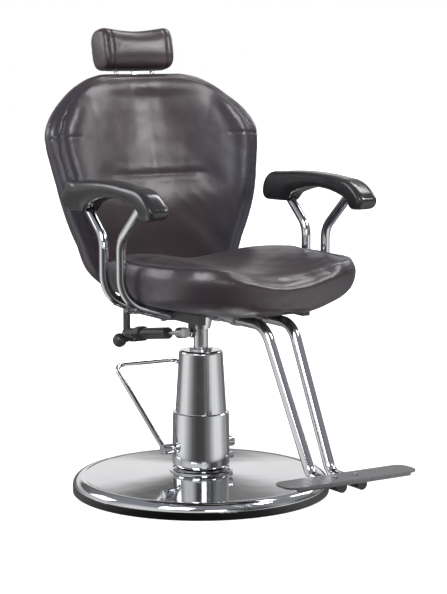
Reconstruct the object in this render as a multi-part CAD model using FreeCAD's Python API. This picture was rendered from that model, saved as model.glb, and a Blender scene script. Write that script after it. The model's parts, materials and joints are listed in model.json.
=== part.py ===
import FreeCAD, Part
import math
import os

# Hydraulic threading chair: a round floor base with a pump, a seat that lifts and swivels on the
# piston, two tube arms, a T footrest, a reclining back on a lockable strut, and a headrest.
# Millimetres, +Z up, the sitter faces -Y, +X is the sitter's left.
# The origin is on the floor, under the axis of the pump.

# Clearances and allowances
fit_clearance = 0.05
free_clearance = 0.3
bore_clearance = 1.0
cut_overrun = 5.0
same_point = 0.001
hexagon_sides = 6

# Round base
base_radius = 305.0
base_rim_width = 28.0
base_rim_height = 37.0
base_crown_height = 49.0
base_cover_wall = 2.5
base_cover_hole_radius = 70.0
base_cover_lift = 2.0
floor_ring_width = 29.0
floor_ring_ledge = 4.0
floor_ring_height = 12.0
floor_ring_lip = 6.0
base_plate_inner_radius = 30.0
base_plate_thickness = 10.0

# Pump foot and the bolts that hold it to the base plate
foot_flange_radius = 76.0
foot_body_radius = 69.5
foot_flange_top = 52.0
foot_neck_radius = 54.0
foot_flare_height = 17.0
foot_top = 80.0
foot_bolt_circle = 60.0
foot_bolt_radius = 5.0
foot_bolt_head_radius = 8.5
foot_bolt_head_height = 5.0
foot_bolt_grip = 24.0
foot_bolt_count = 4

# Pump cylinder, sleeves and piston
cylinder_radius = 46.0
cylinder_bore_radius = 26.0
cylinder_bore_floor = 115.0
cylinder_top = 330.0
cylinder_shelf_radius = 56.0
cylinder_shelf_thickness = 8.0
lower_sleeve_bottom = 60.0
lower_sleeve_top = 190.0
lower_sleeve_bottom_radius = 68.5
lower_sleeve_top_radius = 66.5
upper_sleeve_top = 338.0
upper_sleeve_bottom_radius = 60.5
upper_sleeve_top_radius = 52.0
sleeve_wall = 2.0
sleeve_edge_round = 7.0
piston_radius = 17.4
piston_head_bottom = 150.0
piston_head_thickness = 22.0
piston_seal_groove = 3.5
piston_seal_width = 7.0
bush_length = 30.0
gland_radius = 27.0
gland_height = 13.0
oil_plug_height = 74.0
oil_plug_radius = 6.0
oil_plug_reach = 88.0

# Pump pedal: one round rod bent into a bail, with a hub at each end
pedal_axis_y = 15.0
pedal_axis_z = 104.0
pedal_bar_y = 258.0
pedal_bar_z = 270.0
pedal_half_span = 92.0
pedal_rod_radius = 6.0
pedal_bend_radius = 26.0
pedal_shaft_radius = 7.0
pedal_hub_radius = 12.0
pedal_hub_length = 26.0
pedal_hub_inner_end = pedal_half_span + pedal_rod_radius - pedal_hub_length

# Seat mounting: taper hub, plate and frame
hub_bottom = 389.0
hub_neck_radius = 22.5
hub_shoulder_radius = 29.0
hub_cone_height = 29.0
hub_flange_radius = 62.0
hub_flange_thickness = 7.0
mount_plate_bottom = 430.0
mount_plate_thickness = 6.0
mount_plate_length = 300.0
mount_plate_depth = 200.0
mount_plate_corner = 22.0
mount_bolt_y = 66.0
bolt_radius = 4.0
bolt_head_radius = 7.0
bolt_head_height = 5.0
rail_width = 20.0
rail_front = -235.0
rail_rear = 154.0
frame_top = 458.0
cross_bar_thickness = 6.0
cross_bar_width = 36.0
front_cross_bar_y = -212.0
middle_cross_bar_y = -128.0
rear_cross_bar_y = 136.0
seat_board_thickness = 12.0
seat_board_front = -290.0
seat_board_rear = 88.0
seat_board_corner = 70.0

# Seat cushion
seat_half_width = 256.0
seat_front = -390.0
seat_rear = 147.0
seat_bottom = 458.3
seat_height = 117.7
seat_outline_share = 0.625

# Arm tubes and arm pads
arm_x = 276.0
arm_tube_radius = 11.0
arm_tube_wall = 1.5
arm_lower_corner_z = 481.0
arm_run_slope_share = 0.28
arm_lower_bend = 75.0
arm_upper_bend = 55.0
arm_upper_bend_z = 621.0
front_arm_y = -114.0
rear_arm_y = -34.0
arm_slope_share = 0.878
front_arm_reach = -90.0
rear_arm_reach = 90.0
pad_width = 54.0
pad_front = -288.0
pad_rear = 125.0
pad_rise = 53.0
pad_height = 72.0
pad_edge_round = 8.0
pad_round_angles = (0.0, 35.0, 65.0, 90.0)

# Footrest
footrest_tube_radius = 12.5
footrest_tube_wall = 2.0
footrest_level = 439.2
footrest_start_y = -104.0
footrest_bend_y = -331.0
footrest_half_gap = 36.0
footrest_foot_half_gap = 26.0
footrest_foot_y = -500.0
footrest_foot_z = 133.0
footrest_end_y = -606.0
footrest_upper_bend = 62.0
footrest_lower_bend = 38.0
footrest_plate_half_length = 168.0
footrest_plate_front = -628.0
footrest_plate_rear = -560.0
footrest_plate_thickness = 4.0
footrest_plate_corner = 24.0
footrest_lip_radius = 5.5
footrest_cap_length = 8.0
footrest_cap_plug = 14.0
footrest_screw_radius = 3.0
footrest_screw_head_radius = 6.0
footrest_screw_y = -588.0
saddle_thickness = 2.5
saddle_width = 22.0
saddle_ear = 12.0

# Back recline hinge and strut
hinge_y = 207.0
hinge_z = 417.0
back_lean_deg = 12.0
hinge_pin_radius = 8.0
hinge_boss_radius = 15.0
hinge_pin_head_radius = 11.0
hinge_pin_head = 4.0
hinge_arm_x = 75.0
hinge_arm_thickness = 8.0
hinge_arm_height = 210.0
hinge_gap = 0.5
lug_thickness = 5.0
lug_weld_length = 36.0
lug_drop = 16.0
lug_run = 8.0
lever_radius = 68.0
lever_angle_deg = 15.0
lever_bar_width = 22.0
lever_end_radius = 14.0
strut_pin_radius = 5.0
open_pivot_clearance = 3.2
strut_front_y = -84.0
strut_front_z = 395.0
strut_cylinder_radius = 14.0
strut_cylinder_wall = 2.0
strut_cylinder_start = 18.0
strut_cylinder_length = 185.0
strut_rod_radius = 5.0
strut_rod_inside = 74.0
strut_piston_length = 10.0
strut_rod_visible = 50.0
strut_block_radius = 13.0
strut_block_length = 28.0
strut_fork_gap = 0.5
strut_fork_cheek = 4.0
strut_fork_half_height = 10.0
strut_bracket_width = 24.0
strut_bracket_thickness = 6.0
release_collar_place = 72.0
release_collar_length = 24.0
release_collar_radius = 18.0
release_pivot_drop = 11.0
release_pivot_out = 24.0
release_pin_radius = 3.0
release_ear_radius = 7.0
release_ear_thickness = 4.0
release_eye_half_length = 5.0
release_handle_root = 4.0
release_handle_neck = 8.0
release_knob_radius = 17.0
release_knob_out = 60.0

# Reclining back, in its own upright frame: sideways, through the back, up from the hinge axis
back_bottom = 20.0
back_top = 573.0
back_half_width = 285.0
back_front = -70.0
back_rear = 20.0
back_wing_front = -128.0
back_wing_rear = -20.0
back_board_front = -36.0
back_board_thickness = 12.0
back_board_half_width = 112.0
back_board_bottom = 75.0
back_board_top = 540.0
back_board_corner = 30.0
lumbar_seam_height = 322.0
lumbar_seam_half_width = 150.0
seam_radius = 5.0
seam_depth = 2.5
board_screw_radius = 3.0
board_screw_head_radius = 6.0
board_screw_head = 3.0

# Headrest and its height guide
post_radius = 5.0
post_x = 50.0
post_back = -12.0
guide_half_width = 66.0
guide_bottom = 430.0
guide_top = 538.0
ratchet_width = 12.0
ratchet_thickness = 5.0
ratchet_tooth_pitch = 10.0
ratchet_tooth_depth = 1.5
ratchet_teeth = 9
post_bottom = 448.0
headrest_bottom = 583.0
headrest_top = 682.0
headrest_half_width = 93.0
headrest_middle = -16.0
headrest_depth = 84.0
headrest_saddle = 9.0
post_insertion = 50.0
headrest_board_half_width = 64.0
headrest_board_thickness = 10.0
headrest_board_height = 56.0

# Directions
ORIGIN = FreeCAD.Vector(0, 0, 0)
ALONG_X = FreeCAD.Vector(1, 0, 0)
ALONG_Y = FreeCAD.Vector(0, 1, 0)
ALONG_Z = FreeCAD.Vector(0, 0, 1)
SIDES = {"left": 1, "right": -1}
FULL_TURN = 360.0
HALF_SHARE = 0.5
outline_points = 16


def at(x, y, z):
    return FreeCAD.Vector(x, y, z)


# Shape helpers

def rod(radius, start, end):
    """A round bar between two points."""
    return Part.makeCylinder(radius, (end - start).Length, start, end - start)


def rod_x(radius, x_low, x_high, y, z):
    """A round bar along X."""
    return rod(radius, at(x_low, y, z), at(x_high, y, z))


def rod_z(radius, low, high, x=0, y=0):
    """A round bar along Z."""
    return rod(radius, at(x, y, low), at(x, y, high))


def block(x_low, x_high, y_low, y_high, z_low, z_high):
    """A box between two corners."""
    return Part.makeBox(x_high - x_low, y_high - y_low, z_high - z_low, at(x_low, y_low, z_low))


def closed_face(start, moves):
    """A flat face from moves: (end,) is a line and (middle, end) is an arc."""
    edges = []
    here = start
    for move in moves:
        end = move[-1]
        if len(move) > 1:
            edges.append(Part.Arc(here, move[0], end).toShape())
        else:
            edges.append(Part.makeLine(here, end))
        here = end
    if (here - start).Length > same_point:
        edges.append(Part.makeLine(here, start))
    return Part.Face(Part.Wire(edges))


def turned(start, moves):
    """A solid of revolution about Z from a profile in the XZ plane."""
    return closed_face(start, moves).revolve(ORIGIN, ALONG_Z, FULL_TURN)


def rz(radius, height):
    """A point of a turned profile."""
    return at(radius, 0, height)


def bent_path(corners, radii):
    """Straight runs joined by tangent arcs, one radius for each inner corner."""
    edges = []
    here = corners[0]
    for before, corner, after, radius in zip(corners, corners[1:], corners[2:], radii):
        into = (corner - before).normalize()
        out = (after - corner).normalize()
        half_turn = into.getAngle(out) * HALF_SHARE
        reach = radius * math.tan(half_turn)
        inward = (out - into).normalize()
        middle = corner + inward * (radius / math.cos(half_turn) - radius)
        edges.append(Part.makeLine(here, corner - into * reach))
        edges.append(Part.Arc(corner - into * reach, middle, corner + out * reach).toShape())
        here = corner + out * reach
    edges.append(Part.makeLine(here, corners[-1]))
    return Part.Wire(edges)


def swept_rod(corners, radii, radius):
    """A solid rod bent along a path."""
    path = bent_path(corners, radii)
    circle = Part.Wire([Part.makeCircle(radius, corners[0], corners[1] - corners[0])])
    return path.makePipeShell([circle], True, False)


def swept_tube(corners, radii, radius, wall):
    """A bent tube with open ends."""
    return swept_rod(corners, radii, radius).cut(swept_rod(corners, radii, radius - wall))


def through_arcs(points):
    """A closed wire of three-point arcs through an even ring of points."""
    edges = []
    count = len(points)
    for index in range(0, count, 2):
        edges.append(Part.Arc(points[index], points[index + 1], points[(index + 2) % count]).toShape())
    return Part.Wire(edges)


def signed_power(value, power):
    """Power of a magnitude, with the sign kept."""
    return math.copysign(abs(value) ** power, value)


def ring_angles(count):
    """Even angles round a full turn."""
    return [math.radians(FULL_TURN) * index / count for index in range(count)]


def outline_angles():
    """Angles whose three-point arcs are centred on the sides and on the corners of an outline."""
    step = math.radians(FULL_TURN) / outline_points
    return [step * (index - 1) for index in range(outline_points)]


def rounded_plate(x_low, x_high, y_low, y_high, z_low, z_high, corner):
    """A flat plate with rounded corners."""
    plate = block(x_low, x_high, y_low, y_high, z_low, z_high)
    upright = [edge for edge in plate.Edges if abs(edge.tangentAt(edge.FirstParameter).z) > HALF_SHARE]
    return plate.makeFillet(corner, upright)


def group(solids):
    """Separate identical pieces kept in one node."""
    return Part.makeCompound(solids)


def leaned(shape):
    """From the back's upright frame to its place, leaned back about the hinge axis."""
    placed = shape.copy()
    placed.translate(at(0, hinge_y, hinge_z))
    placed.rotate(at(0, hinge_y, hinge_z), ALONG_X, -back_lean_deg)
    return placed


# Base

cover_rim_inner = base_radius - base_rim_width
floor_ring_inner_radius = base_radius - floor_ring_width
base_plate_top = floor_ring_ledge + base_plate_thickness


def base_cover():
    """Pressed and chromed dish: low cone on top, rolled edge all round."""
    side_share = 0.72
    shoulder_share = 0.9
    side_top_share = 0.4
    wall = base_cover_wall
    outer_side = rz(base_radius, base_rim_height * side_top_share)
    outer_shoulder = rz(cover_rim_inner + base_rim_width * side_share, base_rim_height * shoulder_share)
    inner_side = rz(base_radius - wall, base_rim_height * side_top_share)
    inner_shoulder = rz(outer_shoulder.x - wall, outer_shoulder.z - wall)
    return turned(rz(base_cover_hole_radius, base_crown_height), [
        (rz(cover_rim_inner, base_rim_height),),
        (outer_shoulder, outer_side),
        (rz(base_radius, base_cover_lift),),
        (rz(base_radius - wall, base_cover_lift),),
        (inner_side,),
        (inner_shoulder, rz(cover_rim_inner, base_rim_height - wall)),
        (rz(base_cover_hole_radius, base_crown_height - wall),)])


def floor_ring():
    """Rubber ring with a ledge for the plate and a lip inside the cover."""
    outer = base_radius - base_cover_wall - free_clearance
    return turned(rz(floor_ring_inner_radius, 0), [
        (rz(outer, 0),),
        (rz(outer, floor_ring_height),),
        (rz(outer - floor_ring_lip, floor_ring_height),),
        (rz(outer - floor_ring_lip, floor_ring_ledge),),
        (rz(floor_ring_inner_radius, floor_ring_ledge),)])


def foot_bolt_places():
    return [at(foot_bolt_circle * math.cos(turn), foot_bolt_circle * math.sin(turn), 0)
            for turn in ring_angles(foot_bolt_count)]


def base_plate():
    """Heavy cast disc with counterbored bolt holes from below."""
    outer = base_radius - base_cover_wall - floor_ring_lip - bore_clearance
    chamfer = base_plate_thickness * HALF_SHARE
    plate = turned(rz(base_plate_inner_radius, floor_ring_ledge), [
        (rz(outer, floor_ring_ledge),),
        (rz(outer, base_plate_top - chamfer),),
        (rz(outer - chamfer, base_plate_top),),
        (rz(base_plate_inner_radius, base_plate_top),)])
    for place in foot_bolt_places():
        shank = rod_z(foot_bolt_radius, 0, base_plate_top + cut_overrun, place.x, place.y)
        head_top = floor_ring_ledge + foot_bolt_head_height
        head = rod_z(foot_bolt_head_radius + free_clearance, 0, head_top, place.x, place.y)
        plate = plate.cut(shank.fuse(head))
    return plate


def foot_bolts():
    """Socket bolts up through the plate into the pump foot."""
    head_top = floor_ring_ledge + foot_bolt_head_height
    bolts = []
    for place in foot_bolt_places():
        head = rod_z(foot_bolt_head_radius, floor_ring_ledge, head_top, place.x, place.y)
        shank = rod_z(foot_bolt_radius - fit_clearance, head_top, head_top + foot_bolt_grip,
                      place.x, place.y)
        bolts.append(head.fuse(shank))
    return group(bolts)


def pump_foot():
    """Cast foot: body on the plate, lip over the cover, concave flare, neck, blind bolt holes."""
    flare_top = foot_flange_top + foot_flare_height
    flare_share = 0.28
    flare_width = foot_flange_radius - foot_neck_radius
    flare_middle = rz(foot_neck_radius + flare_width * flare_share,
                      foot_flange_top + foot_flare_height * flare_share)
    foot = turned(rz(0, base_plate_top), [
        (rz(foot_body_radius, base_plate_top),),
        (rz(foot_body_radius, base_crown_height),),
        (rz(foot_flange_radius, base_crown_height),),
        (rz(foot_flange_radius, foot_flange_top),),
        (flare_middle, rz(foot_neck_radius, flare_top)),
        (rz(foot_neck_radius, foot_top),),
        (rz(0, foot_top),)])
    bolt_top = floor_ring_ledge + foot_bolt_head_height + foot_bolt_grip + free_clearance
    for place in foot_bolt_places():
        foot = foot.cut(rod_z(foot_bolt_radius, 0, bolt_top, place.x, place.y))
    plug_hole = rod_x(oil_plug_radius, foot_neck_radius * HALF_SHARE, base_radius, 0, oil_plug_height)
    return foot.cut(plug_hole)


def pump_cylinder():
    """Oil cylinder with its bore, a shelf for the sleeves and the pedal shaft's cross hole."""
    shelf_top = lower_sleeve_top - sleeve_wall
    shelf_bottom = shelf_top - cylinder_shelf_thickness
    body = turned(rz(0, foot_top), [
        (rz(cylinder_radius, foot_top),),
        (rz(cylinder_radius, shelf_bottom),),
        (rz(cylinder_shelf_radius, shelf_bottom),),
        (rz(cylinder_shelf_radius, shelf_top),),
        (rz(cylinder_radius, shelf_top),),
        (rz(cylinder_radius, cylinder_top),),
        (rz(cylinder_bore_radius, cylinder_top),),
        (rz(cylinder_bore_radius, cylinder_bore_floor),),
        (rz(0, cylinder_bore_floor),)])
    return body.cut(rod_x(pedal_shaft_radius, -base_radius, base_radius, pedal_axis_y, pedal_axis_z))


def guide_bush():
    """Bronze bush that guides the piston in the top of the bore."""
    outer = rod_z(cylinder_bore_radius - fit_clearance, cylinder_top - bush_length, cylinder_top)
    return outer.cut(rod_z(piston_radius + fit_clearance, 0, upper_sleeve_top))


def gland_nut():
    """Ring nut that holds the bush and wipes the piston."""
    chamfer = sleeve_wall
    bore = piston_radius + free_clearance
    low = cylinder_top
    high = cylinder_top + gland_height
    return turned(rz(bore, low), [
        (rz(gland_radius, low),),
        (rz(gland_radius, high - chamfer),),
        (rz(gland_radius - chamfer, high),),
        (rz(bore, high),)])


def lower_sleeve():
    """Tapered chrome sleeve with a rolled bottom edge and an inward shelf on top."""
    wall = sleeve_wall
    low = lower_sleeve_bottom
    high = lower_sleeve_top
    bottom = lower_sleeve_bottom_radius
    top = lower_sleeve_top_radius
    curl = sleeve_edge_round
    share = 0.3
    hole = cylinder_radius + free_clearance
    sleeve = turned(rz(hole, high), [
        (rz(top - wall, high),),
        (rz(top, high - wall),),
        (rz(bottom, low + curl),),
        (rz(bottom - curl * share, low + curl * share), rz(bottom - curl, low)),
        (rz(bottom - curl, low + wall),),
        (rz(bottom - curl * share - wall, low + curl * share + wall), rz(bottom - wall, low + curl)),
        (rz(top - wall, high - wall),),
        (rz(hole, high - wall),)])
    shaft_hole = pedal_shaft_radius + bore_clearance
    shaft = rod_x(shaft_hole, -base_radius, base_radius, pedal_axis_y, pedal_axis_z)
    plug = rod_x(oil_plug_radius + free_clearance, 0, base_radius, 0, oil_plug_height)
    return sleeve.cut(shaft).cut(plug)


def upper_sleeve():
    """Narrower chrome sleeve that tapers up to a rounded top edge."""
    wall = sleeve_wall
    low = lower_sleeve_top
    high = upper_sleeve_top
    bottom = upper_sleeve_bottom_radius
    top = upper_sleeve_top_radius
    curl = sleeve_edge_round
    share = 0.3
    hole = gland_radius + free_clearance
    return turned(rz(hole, high), [
        (rz(top - curl, high),),
        (rz(top - curl * share, high - curl * share), rz(top, high - curl)),
        (rz(bottom, low),),
        (rz(bottom - wall, low),),
        (rz(top - wall, high - curl),),
        (rz(top - curl * share - wall, high - curl * share - wall), rz(top - curl, high - wall)),
        (rz(hole, high - wall),)])


def oil_plug():
    """Filler plug on the sitter's left side of the pump foot, with a hexagon head."""
    stem_start = foot_neck_radius - bore_clearance
    head_start = lower_sleeve_bottom_radius + free_clearance
    stem = rod_x(oil_plug_radius - fit_clearance, stem_start, head_start, 0, oil_plug_height)
    points = []
    across = oil_plug_radius + sleeve_wall
    for turn in ring_angles(hexagon_sides):
        points.append(at(head_start, across * math.cos(turn), oil_plug_height + across * math.sin(turn)))
    head = Part.Face(Part.makePolygon(points + points[:1])).extrude(at(oil_plug_reach - head_start, 0, 0))
    return stem.fuse(head)


# Pedal

def pedal_shaft():
    """Cross shaft fixed in the pump cylinder, one hub on each end."""
    reach = pedal_hub_inner_end + pedal_hub_length
    return rod_x(pedal_shaft_radius - fit_clearance, -reach, reach, pedal_axis_y, pedal_axis_z)


def pedal_hub_blanks():
    """Both hubs before they are bored."""
    hubs = []
    outer_end = pedal_hub_inner_end + pedal_hub_length
    for side in SIDES.values():
        inner = side * pedal_hub_inner_end
        outer = side * outer_end
        hubs.append(rod(pedal_hub_radius, at(inner, pedal_axis_y, pedal_axis_z),
                        at(outer, pedal_axis_y, pedal_axis_z)))
    return hubs


def pedal_hubs():
    """The two hubs that turn on the shaft."""
    bore = rod_x(pedal_shaft_radius, -base_radius, base_radius, pedal_axis_y, pedal_axis_z)
    return group([hub.cut(bore) for hub in pedal_hub_blanks()])


def pedal_bail():
    """Round rod bent round the back of the pump, welded to the hubs."""
    corners = [at(-pedal_half_span, pedal_axis_y, pedal_axis_z),
               at(-pedal_half_span, pedal_bar_y, pedal_bar_z),
               at(pedal_half_span, pedal_bar_y, pedal_bar_z),
               at(pedal_half_span, pedal_axis_y, pedal_axis_z)]
    bail = swept_rod(corners, [pedal_bend_radius, pedal_bend_radius], pedal_rod_radius)
    for hub in pedal_hub_blanks():
        bail = bail.cut(hub)
    return bail


# Piston

def piston_rod():
    """Ground rod with its head in the oil bore; the hub turns on its top end."""
    head_top = piston_head_bottom + piston_head_thickness
    head_radius = cylinder_bore_radius - free_clearance
    groove_low = piston_head_bottom + piston_seal_width
    groove_high = groove_low + piston_seal_width
    top = mount_plate_bottom - free_clearance
    chamfer = sleeve_wall
    return turned(rz(0, piston_head_bottom), [
        (rz(head_radius, piston_head_bottom),),
        (rz(head_radius, groove_low),),
        (rz(head_radius - piston_seal_groove, groove_low),),
        (rz(head_radius - piston_seal_groove, groove_high),),
        (rz(head_radius, groove_high),),
        (rz(head_radius, head_top),),
        (rz(piston_radius, head_top),),
        (rz(piston_radius, top - chamfer),),
        (rz(piston_radius - chamfer, top),),
        (rz(0, top),)])


def piston_seal():
    """Rubber ring in the piston head's groove."""
    low = piston_head_bottom + piston_seal_width
    groove_radius = cylinder_bore_radius - free_clearance - piston_seal_groove
    ring = rod_z(cylinder_bore_radius - free_clearance, low, low + piston_seal_width)
    return ring.cut(rod_z(groove_radius, low, low + piston_seal_width))


# Seat mounting

rail_centre_x = (mount_plate_length - rail_width) * HALF_SHARE
seat_board_half_width = rail_centre_x


def taper_hub():
    """Bright hub: neck, cone and flange under the mounting plate."""
    cone_top = hub_bottom + hub_cone_height
    flange_bottom = mount_plate_bottom - hub_flange_thickness
    hub = turned(rz(piston_radius + fit_clearance, hub_bottom), [
        (rz(hub_neck_radius, hub_bottom),),
        (rz(hub_shoulder_radius, cone_top),),
        (rz(hub_shoulder_radius, flange_bottom),),
        (rz(hub_flange_radius, flange_bottom),),
        (rz(hub_flange_radius, mount_plate_bottom),),
        (rz(piston_radius + fit_clearance, mount_plate_bottom),)])
    return hub


def mount_bolt_places():
    return [at(rail_centre_x * sx, mount_bolt_y * sy, 0) for sx in SIDES.values() for sy in SIDES.values()]


def mount_plate():
    """Pressed plate that joins the hub to the two rails."""
    half_length = mount_plate_length * HALF_SHARE
    half_depth = mount_plate_depth * HALF_SHARE
    top = mount_plate_bottom + mount_plate_thickness
    plate = rounded_plate(-half_length, half_length, -half_depth, half_depth, mount_plate_bottom, top,
                          mount_plate_corner)
    for place in mount_bolt_places():
        plate = plate.cut(rod_z(bolt_radius, 0, top + cut_overrun, place.x, place.y))
    return plate


def frame_bolts():
    """Round-headed bolts up through the mounting plate into the rails."""
    seat = mount_plate_bottom
    tip = seat + mount_plate_thickness + rail_width * HALF_SHARE
    bolts = []
    for place in mount_bolt_places():
        head = rod_z(bolt_head_radius, seat - bolt_head_height, seat, place.x, place.y)
        shank = rod_z(bolt_radius - fit_clearance, seat, tip, place.x, place.y)
        bolts.append(head.fuse(shank))
    return group(bolts)


def seat_rail(side):
    """Square bar rail under the seat board, with bolt holes for the mounting plate."""
    centre = side * rail_centre_x
    half = rail_width * HALF_SHARE
    low = mount_plate_bottom + mount_plate_thickness
    rail = block(centre - half, centre + half, rail_front, rail_rear, low, frame_top)
    for y in (-mount_bolt_y, mount_bolt_y):
        hole_top = low + half + free_clearance
        rail = rail.cut(rod_z(bolt_radius, 0, hole_top, side * rail_centre_x, y))
    return rail


def cross_bar(y):
    """Flat bar welded between the rails."""
    half = cross_bar_width * HALF_SHARE
    reach = rail_centre_x - rail_width * HALF_SHARE
    return block(-reach, reach, y - half, y + half, frame_top - cross_bar_thickness, frame_top)


def front_cross_bars():
    """The two bars that the footrest hangs from."""
    return group([cross_bar(front_cross_bar_y), cross_bar(middle_cross_bar_y)])


def rear_cross_bar():
    """The bar that the hinge lugs are welded to."""
    return cross_bar(rear_cross_bar_y)


def seat_board_blank(grow, low, high):
    return rounded_plate(-seat_board_half_width - grow, seat_board_half_width + grow,
                         seat_board_front - grow, seat_board_rear + grow, low, high, seat_board_corner)


def seat_board():
    """Plywood board that the cushion is stretched over."""
    return seat_board_blank(0, frame_top, frame_top + seat_board_thickness)


def seat_section(level_share, width_share, front_share, rear_share):
    """One level outline of the seat cushion."""
    middle_y = (seat_front + seat_rear) * HALF_SHARE
    half_length = (seat_rear - seat_front) * HALF_SHARE
    half_width = seat_half_width * width_share
    points = []
    for turn in outline_angles():
        reach = half_length * (rear_share if math.sin(turn) > 0 else front_share)
        points.append(at(half_width * signed_power(math.cos(turn), seat_outline_share),
                         middle_y + reach * signed_power(math.sin(turn), seat_outline_share),
                         seat_bottom + seat_height * level_share))
    return through_arcs(points)


def seat_cushion():
    """Cushion with drawn-in lower sides and a crown that falls to the rear, hollow for the board."""
    section_shares = [
        (0.00, 0.575, 0.775, 0.84),
        (0.08, 0.715, 0.830, 0.90),
        (0.16, 0.835, 0.875, 0.94),
        (0.30, 0.935, 0.935, 0.98),
        (0.50, 0.990, 0.980, 0.99),
        (0.66, 1.000, 1.000, 0.96),
        (0.82, 0.990, 0.990, 0.84),
        (0.94, 0.935, 0.915, 0.58),
        (1.00, 0.820, 0.760, 0.34)]
    cushion = Part.makeLoft([seat_section(*shares) for shares in section_shares], True, False)
    board_top = frame_top + seat_board_thickness
    return cushion.cut(seat_board_blank(free_clearance, frame_top - cut_overrun, board_top + free_clearance))


# Arms

pad_low = arm_upper_bend_z + pad_rise


def arm_corners(side, upright_y, reach):
    """Path of an arm tube from the pad down, round the side of the seat and in to the rail."""
    rise = abs(reach) * arm_slope_share
    run = arm_x - rail_centre_x
    return [at(side * arm_x, upright_y + reach, arm_upper_bend_z + rise),
            at(side * arm_x, upright_y, arm_upper_bend_z),
            at(side * arm_x, upright_y, arm_lower_corner_z),
            at(side * rail_centre_x, upright_y, arm_lower_corner_z - run * arm_run_slope_share)]


def arm_tube(side, upright_y, reach):
    """Bent tube, cut off flush where it is welded to the outer face of the rail."""
    tube = swept_tube(arm_corners(side, upright_y, reach), [arm_upper_bend, arm_lower_bend],
                      arm_tube_radius, arm_tube_wall)
    face = rail_centre_x + rail_width * HALF_SHARE
    return tube.cut(block(-face, face, -base_radius, base_radius, 0, frame_top + arm_tube_radius))


def front_arm_tube(side):
    return arm_tube(side, front_arm_y, front_arm_reach)


def rear_arm_tube(side):
    return arm_tube(side, rear_arm_y, rear_arm_reach)


def pad_outline(x, inset):
    """Side outline of an arm pad: crowned top, drooping ends, arched underside."""
    place_shares = {
        "rear_low": (1.00, 0.20), "rear_mid": (0.975, 0.72), "rear_high": (0.86, 0.93),
        "crown": (0.55, 1.00), "front_high": (0.20, 0.93), "nose_high": (0.06, 0.70),
        "nose": (0.00, 0.38), "nose_low": (0.010, 0.13), "front_low": (0.045, 0.03),
        "front_heel": (0.110, 0.00), "front_notch": (0.137, 0.22), "arch_front": (0.19, 0.40),
        "arch": (0.46, 0.58), "arch_rear": (0.68, 0.36), "rear_notch": (0.738, 0.20),
        "rear_heel": (0.765, 0.02), "rear_foot": (0.95, 0.00), "rear_toe": (0.985, 0.05)}
    spine_end_share = 0.43
    spine_rise_share = 0.34
    length = pad_rear - pad_front
    along_shrink = inset / (length * HALF_SHARE)
    up_shrink = inset / (pad_height * HALF_SHARE * HALF_SHARE)
    places = {}
    for name, (length_share, height_share) in place_shares.items():
        from_middle = length_share - HALF_SHARE
        bow = from_middle / HALF_SHARE
        spine = spine_end_share + spine_rise_share * (1 - bow * bow)
        along = from_middle * (1 - along_shrink)
        up = spine + (height_share - spine) * (1 - up_shrink)
        places[name] = at(x, pad_front + length * (along + HALF_SHARE), pad_low + pad_height * up)
    route = [("rear_mid", "rear_high"), ("crown", "front_high"), ("nose_high", "nose"),
             ("nose_low", "front_low"), ("front_heel",), ("front_notch", "arch_front"),
             ("arch", "arch_rear"), ("rear_notch", "rear_heel"), ("rear_foot",),
             ("rear_toe", "rear_low")]
    return closed_face(places["rear_low"], [tuple(places[name] for name in names) for names in route])


def arm_pad(side):
    """Moulded pad with rounded long edges and a socket for each tube."""
    half = pad_width * HALF_SHARE
    steps = [math.radians(angle) for angle in pad_round_angles]
    rounds = [(half - pad_edge_round * (1 - math.cos(step)), pad_edge_round * (1 - math.sin(step)))
              for step in steps]
    sections = [(-out, inset) for out, inset in rounds]
    sections += [(out, inset) for out, inset in reversed(rounds)]
    wires = [pad_outline(side * arm_x + out, inset).OuterWire for out, inset in sections]
    pad = Part.makeLoft(wires, True, True)
    for upright_y, reach in ((front_arm_y, front_arm_reach), (rear_arm_y, rear_arm_reach)):
        end, bend = arm_corners(side, upright_y, reach)[:2]
        beyond = end + (end - bend).normalize() * free_clearance
        pad = pad.cut(rod(arm_tube_radius + fit_clearance, bend, beyond))
    return pad


# Footrest

def footrest_corners(side):
    return [at(side * footrest_half_gap, footrest_start_y, footrest_level),
            at(side * footrest_half_gap, footrest_bend_y, footrest_level),
            at(side * footrest_foot_half_gap, footrest_foot_y, footrest_foot_z),
            at(side * footrest_foot_half_gap, footrest_end_y, footrest_foot_z)]


def footrest_tube(side):
    """Tube from under the seat, down in front and forward under the plate, with its screw hole."""
    tube = swept_tube(footrest_corners(side), [footrest_upper_bend, footrest_lower_bend],
                      footrest_tube_radius, footrest_tube_wall)
    hole_top = footrest_foot_z + footrest_tube_radius + cut_overrun
    return tube.cut(rod_z(footrest_screw_radius, footrest_foot_z, hole_top,
                          side * footrest_foot_half_gap, footrest_screw_y))


def footrest_plate_bottom():
    return footrest_foot_z + footrest_tube_radius


def footrest_plate():
    """Chromed plate across the two tubes with a rolled front edge."""
    low = footrest_plate_bottom()
    half = footrest_plate_half_length
    high = low + footrest_plate_thickness
    plate = rounded_plate(-half, half, footrest_plate_front, footrest_plate_rear, low, high,
                          footrest_plate_corner)
    roll_half = half - footrest_plate_corner
    roll_y = footrest_plate_front + footrest_lip_radius
    plate = plate.fuse(rod_x(footrest_lip_radius, -roll_half, roll_half, roll_y, high - footrest_lip_radius))
    for side in SIDES.values():
        plate = plate.cut(rod_z(footrest_screw_radius, low - cut_overrun, high + cut_overrun,
                                side * footrest_foot_half_gap, footrest_screw_y))
    return plate.removeSplitter()


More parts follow.
